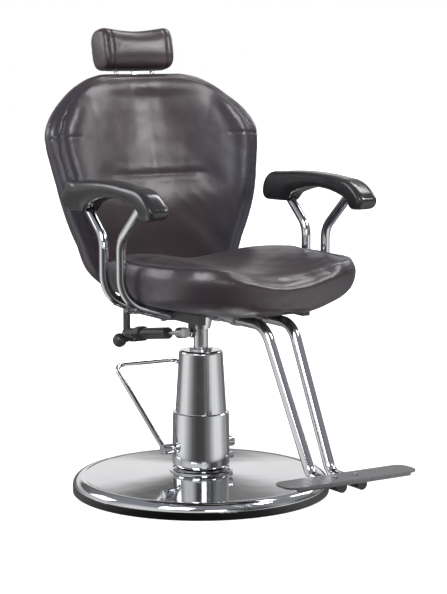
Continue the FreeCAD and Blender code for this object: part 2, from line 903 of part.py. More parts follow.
def footrest_caps():
    """Plastic end caps pushed into the two tubes."""
    caps = []
    plug_radius = footrest_tube_radius - footrest_tube_wall - fit_clearance
    for side in SIDES.values():
        x = side * footrest_foot_half_gap
        face = at(x, footrest_end_y, footrest_foot_z)
        head = rod(footrest_tube_radius, at(x, footrest_end_y - footrest_cap_length, footrest_foot_z), face)
        plug = rod(plug_radius, face, at(x, footrest_end_y + footrest_cap_plug, footrest_foot_z))
        caps.append(head.fuse(plug))
    return group(caps)


def footrest_screws():
    """Flat-headed screws from the plate into the tubes."""
    screws = []
    low = footrest_foot_z + footrest_tube_radius - footrest_tube_wall
    high = footrest_plate_bottom() + footrest_plate_thickness
    for side in SIDES.values():
        x = side * footrest_foot_half_gap
        head = rod_z(footrest_screw_head_radius, high, high + footrest_tube_wall, x, footrest_screw_y)
        shank = rod_z(footrest_screw_radius - fit_clearance, low, high, x, footrest_screw_y)
        screws.append(head.fuse(shank))
    return group(screws)


def footrest_saddles():
    """Pressed saddles that clamp the tubes up to the cross bars."""
    saddles = []
    outer = footrest_tube_radius + saddle_thickness
    half = saddle_width * HALF_SHARE
    top = frame_top - cross_bar_thickness
    for side in SIDES.values():
        x = side * footrest_half_gap
        for y in (front_cross_bar_y, middle_cross_bar_y):
            strap = rod(outer, at(x, y - half, footrest_level), at(x, y + half, footrest_level))
            walls = block(x - outer, x + outer, y - half, y + half, footrest_level, top)
            ears = block(x - outer - saddle_ear, x + outer + saddle_ear, y - half, y + half,
                         top - saddle_thickness, top)
            tube = rod(footrest_tube_radius + fit_clearance, at(x, y - saddle_width, footrest_level),
                       at(x, y + saddle_width, footrest_level))
            mouth = block(x - footrest_tube_radius, x + footrest_tube_radius, y - saddle_width,
                          y + saddle_width, footrest_level, top + cut_overrun)
            saddles.append(strap.fuse(walls).fuse(ears).cut(tube).cut(mouth).removeSplitter())
    return group(saddles)


# Recline hinge

def hinge_lug_x(side):
    """Inner faces of the two lugs beside one hinge arm."""
    half = hinge_arm_thickness * HALF_SHARE + hinge_gap
    return side * hinge_arm_x - half, side * hinge_arm_x + half


def hinge_lugs():
    """Plates welded under the rear cross bar that carry the hinge pins."""
    lugs = []
    top = frame_top - cross_bar_thickness
    rear = rear_cross_bar_y + cross_bar_width * HALF_SHARE
    for side in SIDES.values():
        low_x, high_x = hinge_lug_x(side)
        for start in (low_x - lug_thickness, high_x):
            points = [at(start, rear - lug_weld_length, top), at(start, rear, top),
                      at(start, rear + lug_run, top - lug_drop),
                      at(start, hinge_y, hinge_z + hinge_boss_radius),
                      at(start, hinge_y, hinge_z - hinge_boss_radius)]
            web = Part.Face(Part.makePolygon(points + points[:1])).extrude(at(lug_thickness, 0, 0))
            boss = rod_x(hinge_boss_radius, start, start + lug_thickness, hinge_y, hinge_z)
            hole = rod_x(hinge_pin_radius, start - cut_overrun, start + lug_thickness + cut_overrun,
                         hinge_y, hinge_z)
            lugs.append(web.fuse(boss).cut(hole).removeSplitter())
    return group(lugs)


def headed_pin(radius, head_radius, head, low_x, high_x, y, z):
    """A cross pin with a head on each end."""
    pin = rod_x(radius, low_x - head, high_x + head, y, z)
    for start in (low_x - head, high_x):
        pin = pin.fuse(rod_x(head_radius, start, start + head, y, z))
    return pin.removeSplitter()


def seat_pivot_pins():
    """Headed pins of the seat frame: one for each hinge arm and one for the strut's front end."""
    pins = []
    for side in SIDES.values():
        low_x, high_x = hinge_lug_x(side)
        pins.append(headed_pin(hinge_pin_radius - fit_clearance, hinge_pin_head_radius, hinge_pin_head,
                               low_x - lug_thickness, high_x + lug_thickness, hinge_y, hinge_z))
    front = strut_front()
    reach = strut_bracket_thickness * HALF_SHARE + strut_fork_gap + strut_fork_cheek + free_clearance
    pins.append(headed_pin(strut_pin_radius - fit_clearance, strut_pin_radius + sleeve_wall, sleeve_wall,
                           front.x - reach, front.x + reach, front.y, front.z))
    return group(pins)


def lever_end():
    """Centre of the strut pin at the lower end of the lever."""
    angle = math.radians(lever_angle_deg)
    return at(0, hinge_y + lever_radius * math.sin(angle), hinge_z - lever_radius * math.cos(angle))


def board_screw_heights():
    low_share = 0.45
    high_share = 0.88
    return [hinge_arm_height * low_share, hinge_arm_height * high_share]


def hinge_arm_tabs(side):
    """Angle tabs that screw one hinge arm to the board."""
    rear = back_board_front + back_board_thickness
    half = lever_bar_width * HALF_SHARE
    inner = hinge_arm_x - hinge_arm_thickness * HALF_SHARE
    low_x, high_x = sorted((side * inner, side * (inner - lever_bar_width)))
    return [leaned(block(low_x, high_x, rear, rear + board_screw_head, height - half, height + half))
            for height in board_screw_heights()]


def hinge_arm(side):
    """Flat arm on edge behind the back board; the right one carries the strut lever below."""
    half = hinge_arm_thickness * HALF_SHARE
    low = side * hinge_arm_x - half
    high = side * hinge_arm_x + half
    depth = -(back_board_front + back_board_thickness)
    arm = leaned(block(low, high, -depth, 0, 0, hinge_arm_height))
    arm = arm.fuse(rod_x(hinge_boss_radius, low, high, hinge_y, hinge_z))
    arm = arm.multiFuse(hinge_arm_tabs(side))
    if side < 0:
        end = lever_end()
        bar_half = lever_bar_width * HALF_SHARE
        bar = block(low, high, end.y - bar_half, end.y + bar_half, end.z, hinge_z)
        tip = rod_x(lever_end_radius, low, high, end.y, end.z)
        arm = arm.fuse(bar).fuse(tip)
        hole_radius = strut_pin_radius + open_pivot_clearance
        arm = arm.cut(rod_x(hole_radius, low - cut_overrun, high + cut_overrun, end.y, end.z))
    return arm.cut(rod_x(hinge_pin_radius, low - cut_overrun, high + cut_overrun, hinge_y, hinge_z))


# Recline strut, in its own frame: origin at the rear pin, forward along the strut is -Y

def strut_front():
    return at(-hinge_arm_x, strut_front_y, strut_front_z)


def strut_rear():
    return at(-hinge_arm_x, lever_end().y, lever_end().z)


def strut_length():
    return (strut_front() - strut_rear()).Length


def strut_placed(shape):
    """From the strut's own frame to its place between the two pins."""
    along = strut_front() - strut_rear()
    rise_deg = math.degrees(math.atan2(along.z, -along.y))
    placed = shape.copy()
    placed.rotate(ORIGIN, ALONG_X, -rise_deg)
    placed.translate(strut_rear())
    return placed


def along_strut(radius, start, end):
    return rod(radius, at(0, -start, 0), at(0, -end, 0))


def strut_cylinder():
    """Closed steel cylinder with a guide hole for the rod in its front end."""
    end = strut_cylinder_start + strut_cylinder_length
    cap = strut_cylinder_radius * HALF_SHARE
    bore = strut_cylinder_radius - strut_cylinder_wall
    body = along_strut(strut_cylinder_radius, strut_cylinder_start, end)
    body = body.cut(along_strut(bore, strut_cylinder_start + cap, end - cap))
    body = body.cut(along_strut(strut_rod_radius + fit_clearance, end - cap - cut_overrun, end + cut_overrun))
    rims = [edge for edge in body.Edges if edge.Length > strut_cylinder_radius * math.tau - sleeve_wall]
    rims = [edge for edge in rims if abs(edge.BoundBox.Center.y + end) < sleeve_wall]
    return strut_placed(body.makeFillet(sleeve_wall, rims))


def strut_clevis():
    """Fork on the rear of the cylinder, either side of the lever."""
    half_gap = hinge_arm_thickness * HALF_SHARE + strut_fork_gap
    outer = half_gap + strut_fork_cheek
    height = strut_fork_half_height
    plug = along_strut(strut_cylinder_radius - fit_clearance, lever_end_radius + bore_clearance,
                       strut_cylinder_start)
    cheeks = block(-outer, outer, -strut_cylinder_start, 0, -height, height)
    cheeks = cheeks.fuse(rod_x(height, -outer, outer, 0, 0))
    slot = block(-half_gap, half_gap, -lever_end_radius - bore_clearance, strut_cylinder_start,
                 -strut_cylinder_start, strut_cylinder_start)
    hole = rod_x(strut_pin_radius, -strut_cylinder_start, strut_cylinder_start, 0, 0)
    return strut_placed(cheeks.cut(slot).fuse(plug).cut(hole).removeSplitter())


def strut_rear_pin():
    reach = hinge_arm_thickness * HALF_SHARE + strut_fork_gap + strut_fork_cheek + free_clearance
    return strut_placed(headed_pin(strut_pin_radius - fit_clearance, strut_pin_radius + sleeve_wall,
                                   sleeve_wall, -reach, reach, 0, 0))


def strut_rod():
    """Polished rod with its piston inside the cylinder."""
    end = strut_cylinder_start + strut_cylinder_length
    start = end - strut_rod_inside
    bore = strut_cylinder_radius - strut_cylinder_wall
    body = along_strut(strut_rod_radius, start, end + strut_rod_visible)
    head = along_strut(bore - free_clearance, start, start + strut_piston_length)
    return strut_placed(body.fuse(head).removeSplitter())


def strut_end_block():
    """Grey end block on the rod, forked round the front bracket."""
    start = strut_cylinder_start + strut_cylinder_length + strut_rod_visible
    body_end = start + strut_block_length
    length = strut_length()
    half_gap = strut_bracket_thickness * HALF_SHARE + strut_fork_gap
    outer = half_gap + strut_fork_cheek
    height = strut_fork_half_height
    body = along_strut(strut_block_radius, start, body_end)
    cheeks = block(-outer, outer, -length, -body_end, -height, height)
    cheeks = cheeks.fuse(rod_x(height, -outer, outer, -length, 0))
    slot = block(-half_gap, half_gap, -length - strut_block_length, -body_end, -strut_block_length,
                 strut_block_length)
    hole = rod_x(strut_pin_radius, -outer - cut_overrun, outer + cut_overrun, -length, 0)
    return strut_placed(cheeks.cut(slot).fuse(body).cut(hole).removeSplitter())


def strut_bracket():
    """Flat bracket welded under the mounting plate for the front pin."""
    front = strut_front()
    half = strut_bracket_thickness * HALF_SHARE
    half_width = strut_bracket_width * HALF_SHARE
    bar = block(front.x - half, front.x + half, front.y - half_width, front.y + half_width, front.z,
                mount_plate_bottom)
    tip = rod_x(half_width, front.x - half, front.x + half, front.y, front.z)
    hole = rod_x(strut_pin_radius, front.x - strut_bracket_width, front.x + strut_bracket_width, front.y,
                 front.z)
    return bar.fuse(tip).cut(hole).removeSplitter()


def release_ear_places():
    """Front and rear faces of the handle's eye on the collar, along the strut."""
    half = release_eye_half_length
    return release_collar_place - half, release_collar_place + half


def release_collar():
    """Clamp collar round the cylinder with two ears for the release handle."""
    half = release_collar_length * HALF_SHARE
    start = release_collar_place - half
    end = release_collar_place + half
    collar = along_strut(release_collar_radius, start, end)
    rear, front = release_ear_places()
    for low in (rear - free_clearance - release_ear_thickness, front + free_clearance):
        high = low + release_ear_thickness
        ear = rod(release_ear_radius, at(-release_pivot_out, -low, -release_pivot_drop),
                  at(-release_pivot_out, -high, -release_pivot_drop))
        web = block(-release_pivot_out, 0, -high, -low, -release_pivot_drop - release_ear_radius, 0)
        collar = collar.fuse(ear).fuse(web)
    collar = collar.cut(along_strut(strut_cylinder_radius + fit_clearance, start - cut_overrun,
                                    end + cut_overrun))
    slot_low = at(-release_pivot_out, -rear + free_clearance, -release_pivot_drop)
    slot_high = at(-release_pivot_out, -front - free_clearance, -release_pivot_drop)
    collar = collar.cut(rod(release_ear_radius + free_clearance, slot_low, slot_high))
    pin = rod(release_pin_radius, at(-release_pivot_out, -start + cut_overrun, -release_pivot_drop),
              at(-release_pivot_out, -end - cut_overrun, -release_pivot_drop))
    return strut_placed(collar.cut(pin).removeSplitter())


def release_pin():
    rear, front = release_ear_places()
    low = rear - free_clearance - release_ear_thickness
    high = front + free_clearance + release_ear_thickness
    return strut_placed(rod(release_pin_radius - fit_clearance,
                            at(-release_pivot_out, -low, -release_pivot_drop),
                            at(-release_pivot_out, -high, -release_pivot_drop)))


def release_handle():
    """Tapered handle that points out sideways from the collar."""
    rear, front = release_ear_places()
    centre_y = -release_collar_place
    eye = rod(release_ear_radius, at(-release_pivot_out, -rear, -release_pivot_drop),
              at(-release_pivot_out, -front, -release_pivot_drop))
    tip_x = -release_knob_out + release_knob_radius * HALF_SHARE
    shaft = Part.makeCone(release_handle_root, release_handle_neck, -release_pivot_out - tip_x,
                          at(-release_pivot_out, centre_y, -release_pivot_drop), at(-1, 0, 0))
    handle = eye.fuse(shaft)
    hole = rod(release_pin_radius, at(-release_pivot_out, 0, -release_pivot_drop),
               at(-release_pivot_out, -strut_length(), -release_pivot_drop))
    return strut_placed(handle.cut(hole).cut(release_knob_blank()))


def release_knob_blank():
    return Part.makeSphere(release_knob_radius,
                           at(-release_knob_out, -release_collar_place, -release_pivot_drop))


def release_knob():
    """Ball knob on the handle's outer end."""
    return strut_placed(release_knob_blank())


# Reclining back

def back_depth(share_across, centre, edge):
    """Front or rear face of the back at a share of the way out to its edge."""
    return centre + (edge - centre) * share_across * share_across


def back_section(height_share, width_share, thick_share, wing_share):
    """One level outline of the back: a crescent that wraps round the sitter."""
    points = []
    half_width = back_half_width * width_share
    middle = (back_front + back_rear) * HALF_SHARE
    middle_wing = (back_wing_front + back_wing_rear) * HALF_SHARE
    half_centre = (back_rear - back_front) * HALF_SHARE * thick_share
    half_wing = (back_wing_rear - back_wing_front) * HALF_SHARE * thick_share
    across_share = 0.6
    through_share = 0.75
    for turn in outline_angles():
        across = signed_power(math.cos(turn), across_share)
        through = signed_power(math.sin(turn), through_share)
        centre_line = back_depth(across, middle, middle + (middle_wing - middle) * wing_share)
        half = back_depth(across, half_centre, half_wing)
        points.append(at(half_width * across, centre_line + half * through,
                         back_bottom + (back_top - back_bottom) * height_share))
    return through_arcs(points)


def back_blank():
    """The whole upholstered back before its pockets are cut."""
    section_shares = [
        (0.000, 0.340, 0.46, 0.10),
        (0.030, 0.470, 0.72, 0.20),
        (0.100, 0.655, 0.90, 0.38),
        (0.250, 0.805, 0.97, 0.64),
        (0.420, 0.915, 1.00, 0.84),
        (0.580, 0.980, 1.00, 0.95),
        (0.710, 1.005, 1.00, 1.00),
        (0.790, 0.975, 0.98, 0.95),
        (0.885, 0.820, 0.93, 0.74),
        (0.955, 0.630, 0.82, 0.46),
        (0.986, 0.495, 0.62, 0.27),
        (1.000, 0.400, 0.36, 0.16)]
    return Part.makeLoft([back_section(*shares) for shares in section_shares], True, False)


def back_front_at_seam(x):
    share = x / back_half_width
    return back_depth(share, back_front, back_wing_front)


def lumbar_seam():
    """Round cutter along the sewn channel across the front."""
    x = lumbar_seam_half_width
    lift = seam_radius - seam_depth
    ends = [at(side, back_front_at_seam(side) - lift, lumbar_seam_height) for side in (-x, x)]
    middle = at(0, back_front - lift, lumbar_seam_height)
    arc = Part.Wire([Part.Arc(ends[0], middle, ends[1]).toShape()])
    start = arc.Edges[0].tangentAt(arc.Edges[0].FirstParameter)
    circle = Part.Wire([Part.makeCircle(seam_radius, ends[0], start)])
    return arc.makePipeShell([circle], True, False)


def back_cavity():
    """Room for the board, the hinge arms and the headrest guide, open to the rear."""
    half = back_board_half_width + free_clearance
    room = block(-half, half, back_board_front - free_clearance, back_rear + cut_overrun,
                 back_board_bottom - free_clearance, back_board_top + free_clearance)
    rear = block(-back_half_width, back_half_width, -free_clearance, back_rear + cut_overrun,
                 back_bottom - cut_overrun, back_top + cut_overrun)
    slots = []
    for side in SIDES.values():
        half_slot = hinge_arm_thickness * HALF_SHARE + bore_clearance
        centre = side * hinge_arm_x
        slots.append(block(centre - half_slot, centre + half_slot, back_board_front + back_board_thickness
                           - bore_clearance, 0, 0, back_board_bottom))
    return room.fuse(rear).multiFuse(slots)


def post_places():
    return [side * post_x for side in SIDES.values()]


def back_cushion():
    """Foam and cover of the back, with its sewn channel and pockets."""
    cushion = back_blank().cut(back_cavity()).cut(lumbar_seam())
    for x in post_places():
        cushion = cushion.cut(rod_z(post_radius + bore_clearance, guide_bottom, headrest_top, x, post_back))
    half = ratchet_width * HALF_SHARE + bore_clearance
    deep = ratchet_thickness * HALF_SHARE + bore_clearance
    return leaned(cushion.cut(block(-half, half, post_back - deep, post_back + deep, guide_bottom,
                                    headrest_top)))


def back_rear_panel():
    """Upholstered panel that closes the rear of the back."""
    rear = block(-back_half_width, back_half_width, 0, back_rear + cut_overrun,
                 back_bottom - cut_overrun, back_top + cut_overrun)
    panel = back_blank().common(rear)
    for x in post_places():
        panel = panel.cut(rod_z(post_radius + bore_clearance, guide_bottom, headrest_top, x, post_back))
    return leaned(panel)


def back_board():
    """Plywood board that carries the foam, the hinge arms and the headrest guide."""
    rear = back_board_front + back_board_thickness
    board = block(-back_board_half_width, back_board_half_width, back_board_front, rear,
                  back_board_bottom, back_board_top)
    corners = [edge for edge in board.Edges if edge.BoundBox.YLength > back_board_thickness * HALF_SHARE]
    return leaned(board.makeFillet(back_board_corner, corners))


def board_screws():
    """Screws through the tabs into the board."""
    rear = back_board_front + back_board_thickness + board_screw_head
    screws = []
    for side in SIDES.values():
        x = side * (hinge_arm_x - hinge_arm_thickness * HALF_SHARE - lever_bar_width * HALF_SHARE)
        for height in board_screw_heights():
            head = rod(board_screw_head_radius, at(x, rear, height), at(x, rear + board_screw_head, height))
            screws.append(leaned(head))
    return group(screws)


# Headrest

def headrest_guide():
    """Block behind the board's top with a hole for each post and a slot for the ratchet bar."""
    front = back_board_front + back_board_thickness
    guide = block(-guide_half_width, guide_half_width, front, -free_clearance, guide_bottom, guide_top)
    top = guide_top + cut_overrun
    floor = guide_bottom + sleeve_wall
    for x in post_places():
        guide = guide.cut(rod_z(post_radius + free_clearance, floor, top, x, post_back))
    half = ratchet_width * HALF_SHARE + free_clearance
    deep = ratchet_thickness * HALF_SHARE + free_clearance
    guide = guide.cut(block(-half, half, post_back - deep, post_back + deep, floor, top))
    return leaned(guide)


def headrest_posts():
    """Two round posts from the guide up into the headrest."""
    top = headrest_bottom + post_insertion
    return group([leaned(rod_z(post_radius, post_bottom, top, x, post_back)) for x in post_places()])


def headrest_ratchet_bar():
    """Flat middle bar, notched on its rear face for the height stops."""
    half = ratchet_width * HALF_SHARE
    deep = ratchet_thickness * HALF_SHARE
    bar = block(-half, half, post_back - deep, post_back + deep, post_bottom, headrest_bottom + post_insertion)
    rear = post_back + deep
    for index in range(ratchet_teeth):
        low = post_bottom + ratchet_tooth_pitch * (index + HALF_SHARE)
        points = [at(-half, rear, low), at(-half, rear - ratchet_tooth_depth, low),
                  at(-half, rear, low + ratchet_tooth_depth + ratchet_tooth_depth)]
        notch = Part.Face(Part.makePolygon(points + points[:1])).extrude(at(ratchet_width, 0, 0))
        bar = bar.cut(notch)
    return leaned(bar)


def headrest_section(x, size_share, saddle_share):
    """One cross outline of the headrest."""
    points = []
    height = (headrest_top - headrest_bottom) * HALF_SHARE
    middle = headrest_bottom + height
    power_share = 0.62
    for turn in outline_angles():
        through = signed_power(math.cos(turn), power_share)
        up = signed_power(math.sin(turn), power_share)
        drop = headrest_saddle * saddle_share if up > 0 else 0
        points.append(at(x, headrest_middle + headrest_depth * HALF_SHARE * size_share * through,
                         middle + (height * size_share - drop) * up))
    return through_arcs(points)


def headrest_cushion():
    """Saddle-topped roll with flat end panels and room for its board and posts."""
    section_shares = [(-1.0, 0.93, 0.0), (-0.9, 1.0, 0.05), (-0.5, 1.0, 0.6), (0.0, 1.0, 1.0),
                      (0.5, 1.0, 0.6), (0.9, 1.0, 0.05), (1.0, 0.93, 0.0)]
    sections = [headrest_section(headrest_half_width * place, size, saddle)
                for place, size, saddle in section_shares]
    cushion = Part.makeLoft(sections, True, False)
    top = headrest_bottom + post_insertion + free_clearance
    for x in post_places():
        cushion = cushion.cut(rod_z(post_radius + free_clearance, post_bottom, top, x, post_back))
    half = ratchet_width * HALF_SHARE + free_clearance
    deep = ratchet_thickness * HALF_SHARE + free_clearance
    cushion = cushion.cut(block(-half, half, post_back - deep, post_back + deep, post_bottom, top))
    low = headrest_bottom + post_insertion - headrest_board_height * HALF_SHARE
    room_half = headrest_board_half_width + free_clearance
    rear = post_back + post_radius + free_clearance
    cushion = cushion.cut(block(-room_half, room_half, rear, rear + headrest_board_thickness + free_clearance,
                                low - free_clearance, low + headrest_board_height + free_clearance))
    return leaned(cushion)


def headrest_board():
    """Small board inside the headrest that the posts are fixed to."""
    low = headrest_bottom + post_insertion - headrest_board_height * HALF_SHARE
    rear = post_back + post_radius + free_clearance
    return leaned(block(-headrest_board_half_width, headrest_board_half_width, rear,
                        rear + headrest_board_thickness, low, low + headrest_board_height))


NODES = {
    "base_cover": base_cover,
    "floor_ring": floor_ring,
    "base_plate": base_plate,
    "foot_bolts": foot_bolts,
    "pump_foot": pump_foot,
    "pump_cylinder": pump_cylinder,
    "guide_bush": guide_bush,
    "gland_nut": gland_nut,
    "lower_sleeve": lower_sleeve,
    "upper_sleeve": upper_sleeve,
    "oil_plug": oil_plug,
    "pedal_shaft": pedal_shaft,
    "pedal_hubs": pedal_hubs,
    "pedal_bail": pedal_bail,
    "piston_rod": piston_rod,
    "piston_seal": piston_seal,
    "taper_hub": taper_hub,
    "mount_plate": mount_plate,
    "frame_bolts": frame_bolts,
    "front_cross_bars": front_cross_bars,
    "rear_cross_bar": rear_cross_bar,
    "seat_board": seat_board,
    "seat_cushion": seat_cushion,
    "footrest_saddles": footrest_saddles,
    "footrest_plate": footrest_plate,
    "footrest_caps": footrest_caps,
    "footrest_screws": footrest_screws,
    "hinge_lugs": hinge_lugs,
    "seat_pivot_pins": seat_pivot_pins,
    "strut_bracket": strut_bracket,
    "strut_rod": strut_rod,
    "strut_end_block": strut_end_block,
    "strut_cylinder": strut_cylinder,
    "strut_clevis": strut_clevis,
    "strut_rear_pin": strut_rear_pin,
    "release_collar": release_collar,
    "release_pin": release_pin,
    "release_handle": release_handle,
    "release_knob": release_knob,
    "back_board": back_board,
    "board_screws": board_screws,
    "back_cushion": back_cushion,
    "back_rear_panel": back_rear_panel,
    "headrest_guide": headrest_guide,
    "headrest_posts": headrest_posts,
    "headrest_ratchet_bar": headrest_ratchet_bar,
    "headrest_board": headrest_board,
    "headrest_cushion": headrest_cushion,
}
SIDED_NODES = {
    "seat_rail": seat_rail,
    "front_arm_tube": front_arm_tube,
    "rear_arm_tube": rear_arm_tube,
    "arm_pad": arm_pad,
    "footrest_tube": footrest_tube,
    "hinge_arm": hinge_arm,
}


def save(name, shape):
    shape.exportStep("parts/" + name + ".step")


def main():
    os.makedirs("parts", exist_ok=True)
    for name, make in NODES.items():
        save(name, make())
    for name, make in SIDED_NODES.items():
        for side_name, side in SIDES.items():
            save(side_name + "_" + name, make(side))


main()
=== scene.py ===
# %% [markdown]
# # A threading chair, dressed for the camera
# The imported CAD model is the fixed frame: its rigid pieces are never moved or reshaped here. This
# script gives every surface a procedural material, replaces the soft solids by cushions that are
# puffed as cloth and sewn, stitches their seams, and sets up the studio and the camera. All
# lengths are in metres.

# %% Load the frame
import bpy
import bmesh
import json
import math
import numpy as np
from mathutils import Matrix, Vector
from mathutils.bvhtree import BVHTree


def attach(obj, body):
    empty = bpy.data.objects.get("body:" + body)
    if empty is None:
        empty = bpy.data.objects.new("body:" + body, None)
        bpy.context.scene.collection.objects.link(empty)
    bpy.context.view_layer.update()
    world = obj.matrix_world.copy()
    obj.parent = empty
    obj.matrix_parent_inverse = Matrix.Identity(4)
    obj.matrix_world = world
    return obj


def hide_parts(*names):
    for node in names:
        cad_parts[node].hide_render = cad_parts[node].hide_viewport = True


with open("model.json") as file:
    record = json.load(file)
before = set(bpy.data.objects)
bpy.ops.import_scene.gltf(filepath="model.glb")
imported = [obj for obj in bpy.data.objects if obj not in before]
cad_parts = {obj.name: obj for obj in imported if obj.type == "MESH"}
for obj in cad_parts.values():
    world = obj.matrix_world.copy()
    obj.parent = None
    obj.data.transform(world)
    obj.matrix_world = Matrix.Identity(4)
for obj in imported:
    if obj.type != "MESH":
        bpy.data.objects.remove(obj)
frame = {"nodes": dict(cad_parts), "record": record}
scene = bpy.context.scene
nodes = frame["nodes"]
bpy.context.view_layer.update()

# %% [markdown]
# ## The camera
# A long lens, placed where the photograph was taken from. It could be moved by eye until the
# picture looks right, but points that appear in mirrored pairs, such as the two arm pads, give its
# place and turn by calculation, so they are simply written down.

# %% Place the camera
CAMERA_PLACE = Vector((-2.2824, -3.7618, 1.0628))
CAMERA_TURN = math.radians(-31.9439)
CAMERA_DROP = math.radians(7.7693)
CAMERA_LENS, SENSOR_WIDTH = 114.32, 36
FARTHEST_SEEN = 60

camera_data = bpy.data.cameras.new("camera")
camera_data.lens = CAMERA_LENS
camera_data.sensor_width = SENSOR_WIDTH
camera_data.clip_end = FARTHEST_SEEN
camera = bpy.data.objects.new("camera", camera_data)
scene.collection.objects.link(camera)
camera.location = CAMERA_PLACE
camera.rotation_mode = "XYZ"
camera.rotation_euler = (math.radians(90) - CAMERA_DROP, 0, CAMERA_TURN)
scene.camera = camera
forward = camera.rotation_euler.to_matrix() @ Vector((0, 0, -1))
print("camera looks along", [round(v, 4) for v in forward])

# %% [markdown]
# ## Small tools for shader graphs
# `put` adds a node and connects or sets its inputs in one line, so that each material reads as a
# short recipe. The output of another node becomes a link, and anything else is a value. An input
# goes by its label, or by i and its number where the label is shared.

# %% Nodes in one line
def put(tree, kind, out=0, settings=None, **inputs):
    """Adds a node, sets its settings and inputs, and returns one of its outputs."""
    node = tree.nodes.new(kind)
    for name, value in (settings or {}).items():
        setattr(node, name, value)
    for name, value in inputs.items():
        numbered = name[0] == "i" and name[1:].isdigit()
        socket = node.inputs[int(name[1:]) if numbered else name.replace("_", " ")]
        if isinstance(value, bpy.types.NodeSocket):
            tree.links.new(value, socket)
        else:
            socket.default_value = value
    return node.outputs[out]


def cleared(owner):
    """The empty node tree of a world or a material."""
    owner.use_nodes = True
    owner.node_tree.nodes.clear()
    return owner.node_tree


def ramp(tree, value, stops):
    """A colour ramp of (place, grey or colour) stops."""
    node = tree.nodes.new("ShaderNodeValToRGB")
    tree.links.new(value, node.inputs[0])
    elements = node.color_ramp.elements
    while len(elements) < len(stops):
        elements.new(0.5)
    for element, (place, colour) in zip(elements, stops):
        element.position = place
        rgb = colour if isinstance(colour, tuple) else (colour,) * 3
        element.color = (*rgb, 1)
    return node.outputs[0]


def sums(tree, operation, a, b=0.0):
    """One step of arithmetic."""
    return put(tree, "ShaderNodeMath", settings={"operation": operation}, i0=a, i1=b)


def plus(tree, a, b):
    return sums(tree, "ADD", a, b)


def times(tree, a, b):
    return sums(tree, "MULTIPLY", a, b)


def noise(tree, **inputs):
    return put(tree, "ShaderNodeTexNoise", **inputs)


def blended(tree, share, a, b):
    """Mixes two colours."""
    return put(tree, "ShaderNodeMix", out=2, settings={"data_type": "RGBA"}, i0=share, i6=a, i7=b)


def shade(colour, share=1.0):
    """An opaque colour, darkened to a share of itself."""
    return tuple(c * share for c in colour) + (1,)


print("graph tools: put, cleared, ramp, sums, plus, times, noise, blended, shade")

# %% [markdown]
# ## The studio
# Chrome shows only what stands round it, and the photograph's chrome has dark bands, so it mirrors
# a pale room with darker flags. A picture of a real room could be wrapped round the object, but
# lists of greys are easy to read and to change. Each list goes once round the room. A row is a
# place, from 0 to 1, and the brightness there. One list serves the horizon, one what lies a little
# above it, one what is higher still, and one the floor, which upright chrome mirrors most.

# %% The flags
LEVEL_BANDS = [(0.00, 0.15), (0.08, 0.15), (0.163, 0.08), (0.24, 0.16), (0.30, 0.45), (0.36, 0.75),
               (0.42, 0.60), (0.48, 0.90), (0.56, 0.90), (0.63, 0.95), (0.72, 0.90), (0.75, 0.30),
               (0.78, 0.07), (0.84, 0.12), (0.88, 0.40), (0.93, 0.12)]
LOW_BANDS = [(0.00, 0.30), (0.08, 0.70), (0.163, 0.98), (0.24, 0.80), (0.30, 0.55), (0.36, 0.75),
             (0.42, 0.60), (0.48, 0.90), (0.56, 0.85), (0.62, 0.60), (0.71, 0.90), (0.74, 0.40),
             (0.77, 0.07), (0.83, 0.12), (0.88, 0.50), (0.93, 0.15)]
HIGH_BANDS = [(0.00, 0.25), (0.08, 0.45), (0.13, 0.45), (0.17, 0.14), (0.28, 0.12), (0.42, 0.40),
              (0.48, 0.95), (0.56, 0.90), (0.62, 0.08), (0.73, 0.07), (0.80, 0.12), (0.86, 0.35),
              (0.93, 0.30)]
FLOOR_BANDS = [(0.05, 0.20), (0.16, 0.12), (0.27, 0.18), (0.34, 0.26), (0.40, 0.95), (0.46, 1.00),
               (0.52, 0.48), (0.57, 0.15), (0.62, 0.07), (0.69, 0.08), (0.75, 0.26), (0.82, 0.98),
               (0.88, 1.00), (0.95, 0.42)]
LOW_STARTS = [(0.09, 0.0), (0.15, 1.0)]
HIGH_STARTS = [(0.27, 0.0), (0.33, 1.0)]
CEILING_STARTS = [(0.35, 0.0), (0.70, 1.0)]
CEILING = (0.28, 0.29, 0.32, 1)
print("flags round the room:", len(LEVEL_BANDS), "at the horizon,", len(FLOOR_BANDS), "on the floor")

# %% [markdown]
# ### The room
# A world that shows each kind of ray something else: white to the camera, the flags to metal, and
# an even daylight to dull surfaces, so that no flag tints them.

# %% The room
DAYLIGHT, DAYLIGHT_STRENGTH = (0.95, 0.96, 1.0, 1), 0.75
WHITE = (1, 1, 1, 1)


def split(tree, vector):
    """The x, y and z of a vector."""
    return put(tree, "ShaderNodeSeparateXYZ", i0=vector).node.outputs[:]


def ray(tree, kind):
    """1 for rays of a kind: Camera, Diffuse or Glossy."""
    return put(tree, "ShaderNodeLightPath", out="Is " + kind + " Ray")


def around_room(tree, x, y):
    """How far round the room a direction points, from 0 to 1."""
    turn = sums(tree, "ARCTAN2", y, x)
    return sums(tree, "FRACT", plus(tree, sums(tree, "DIVIDE", turn, 2 * math.pi), 1.0))


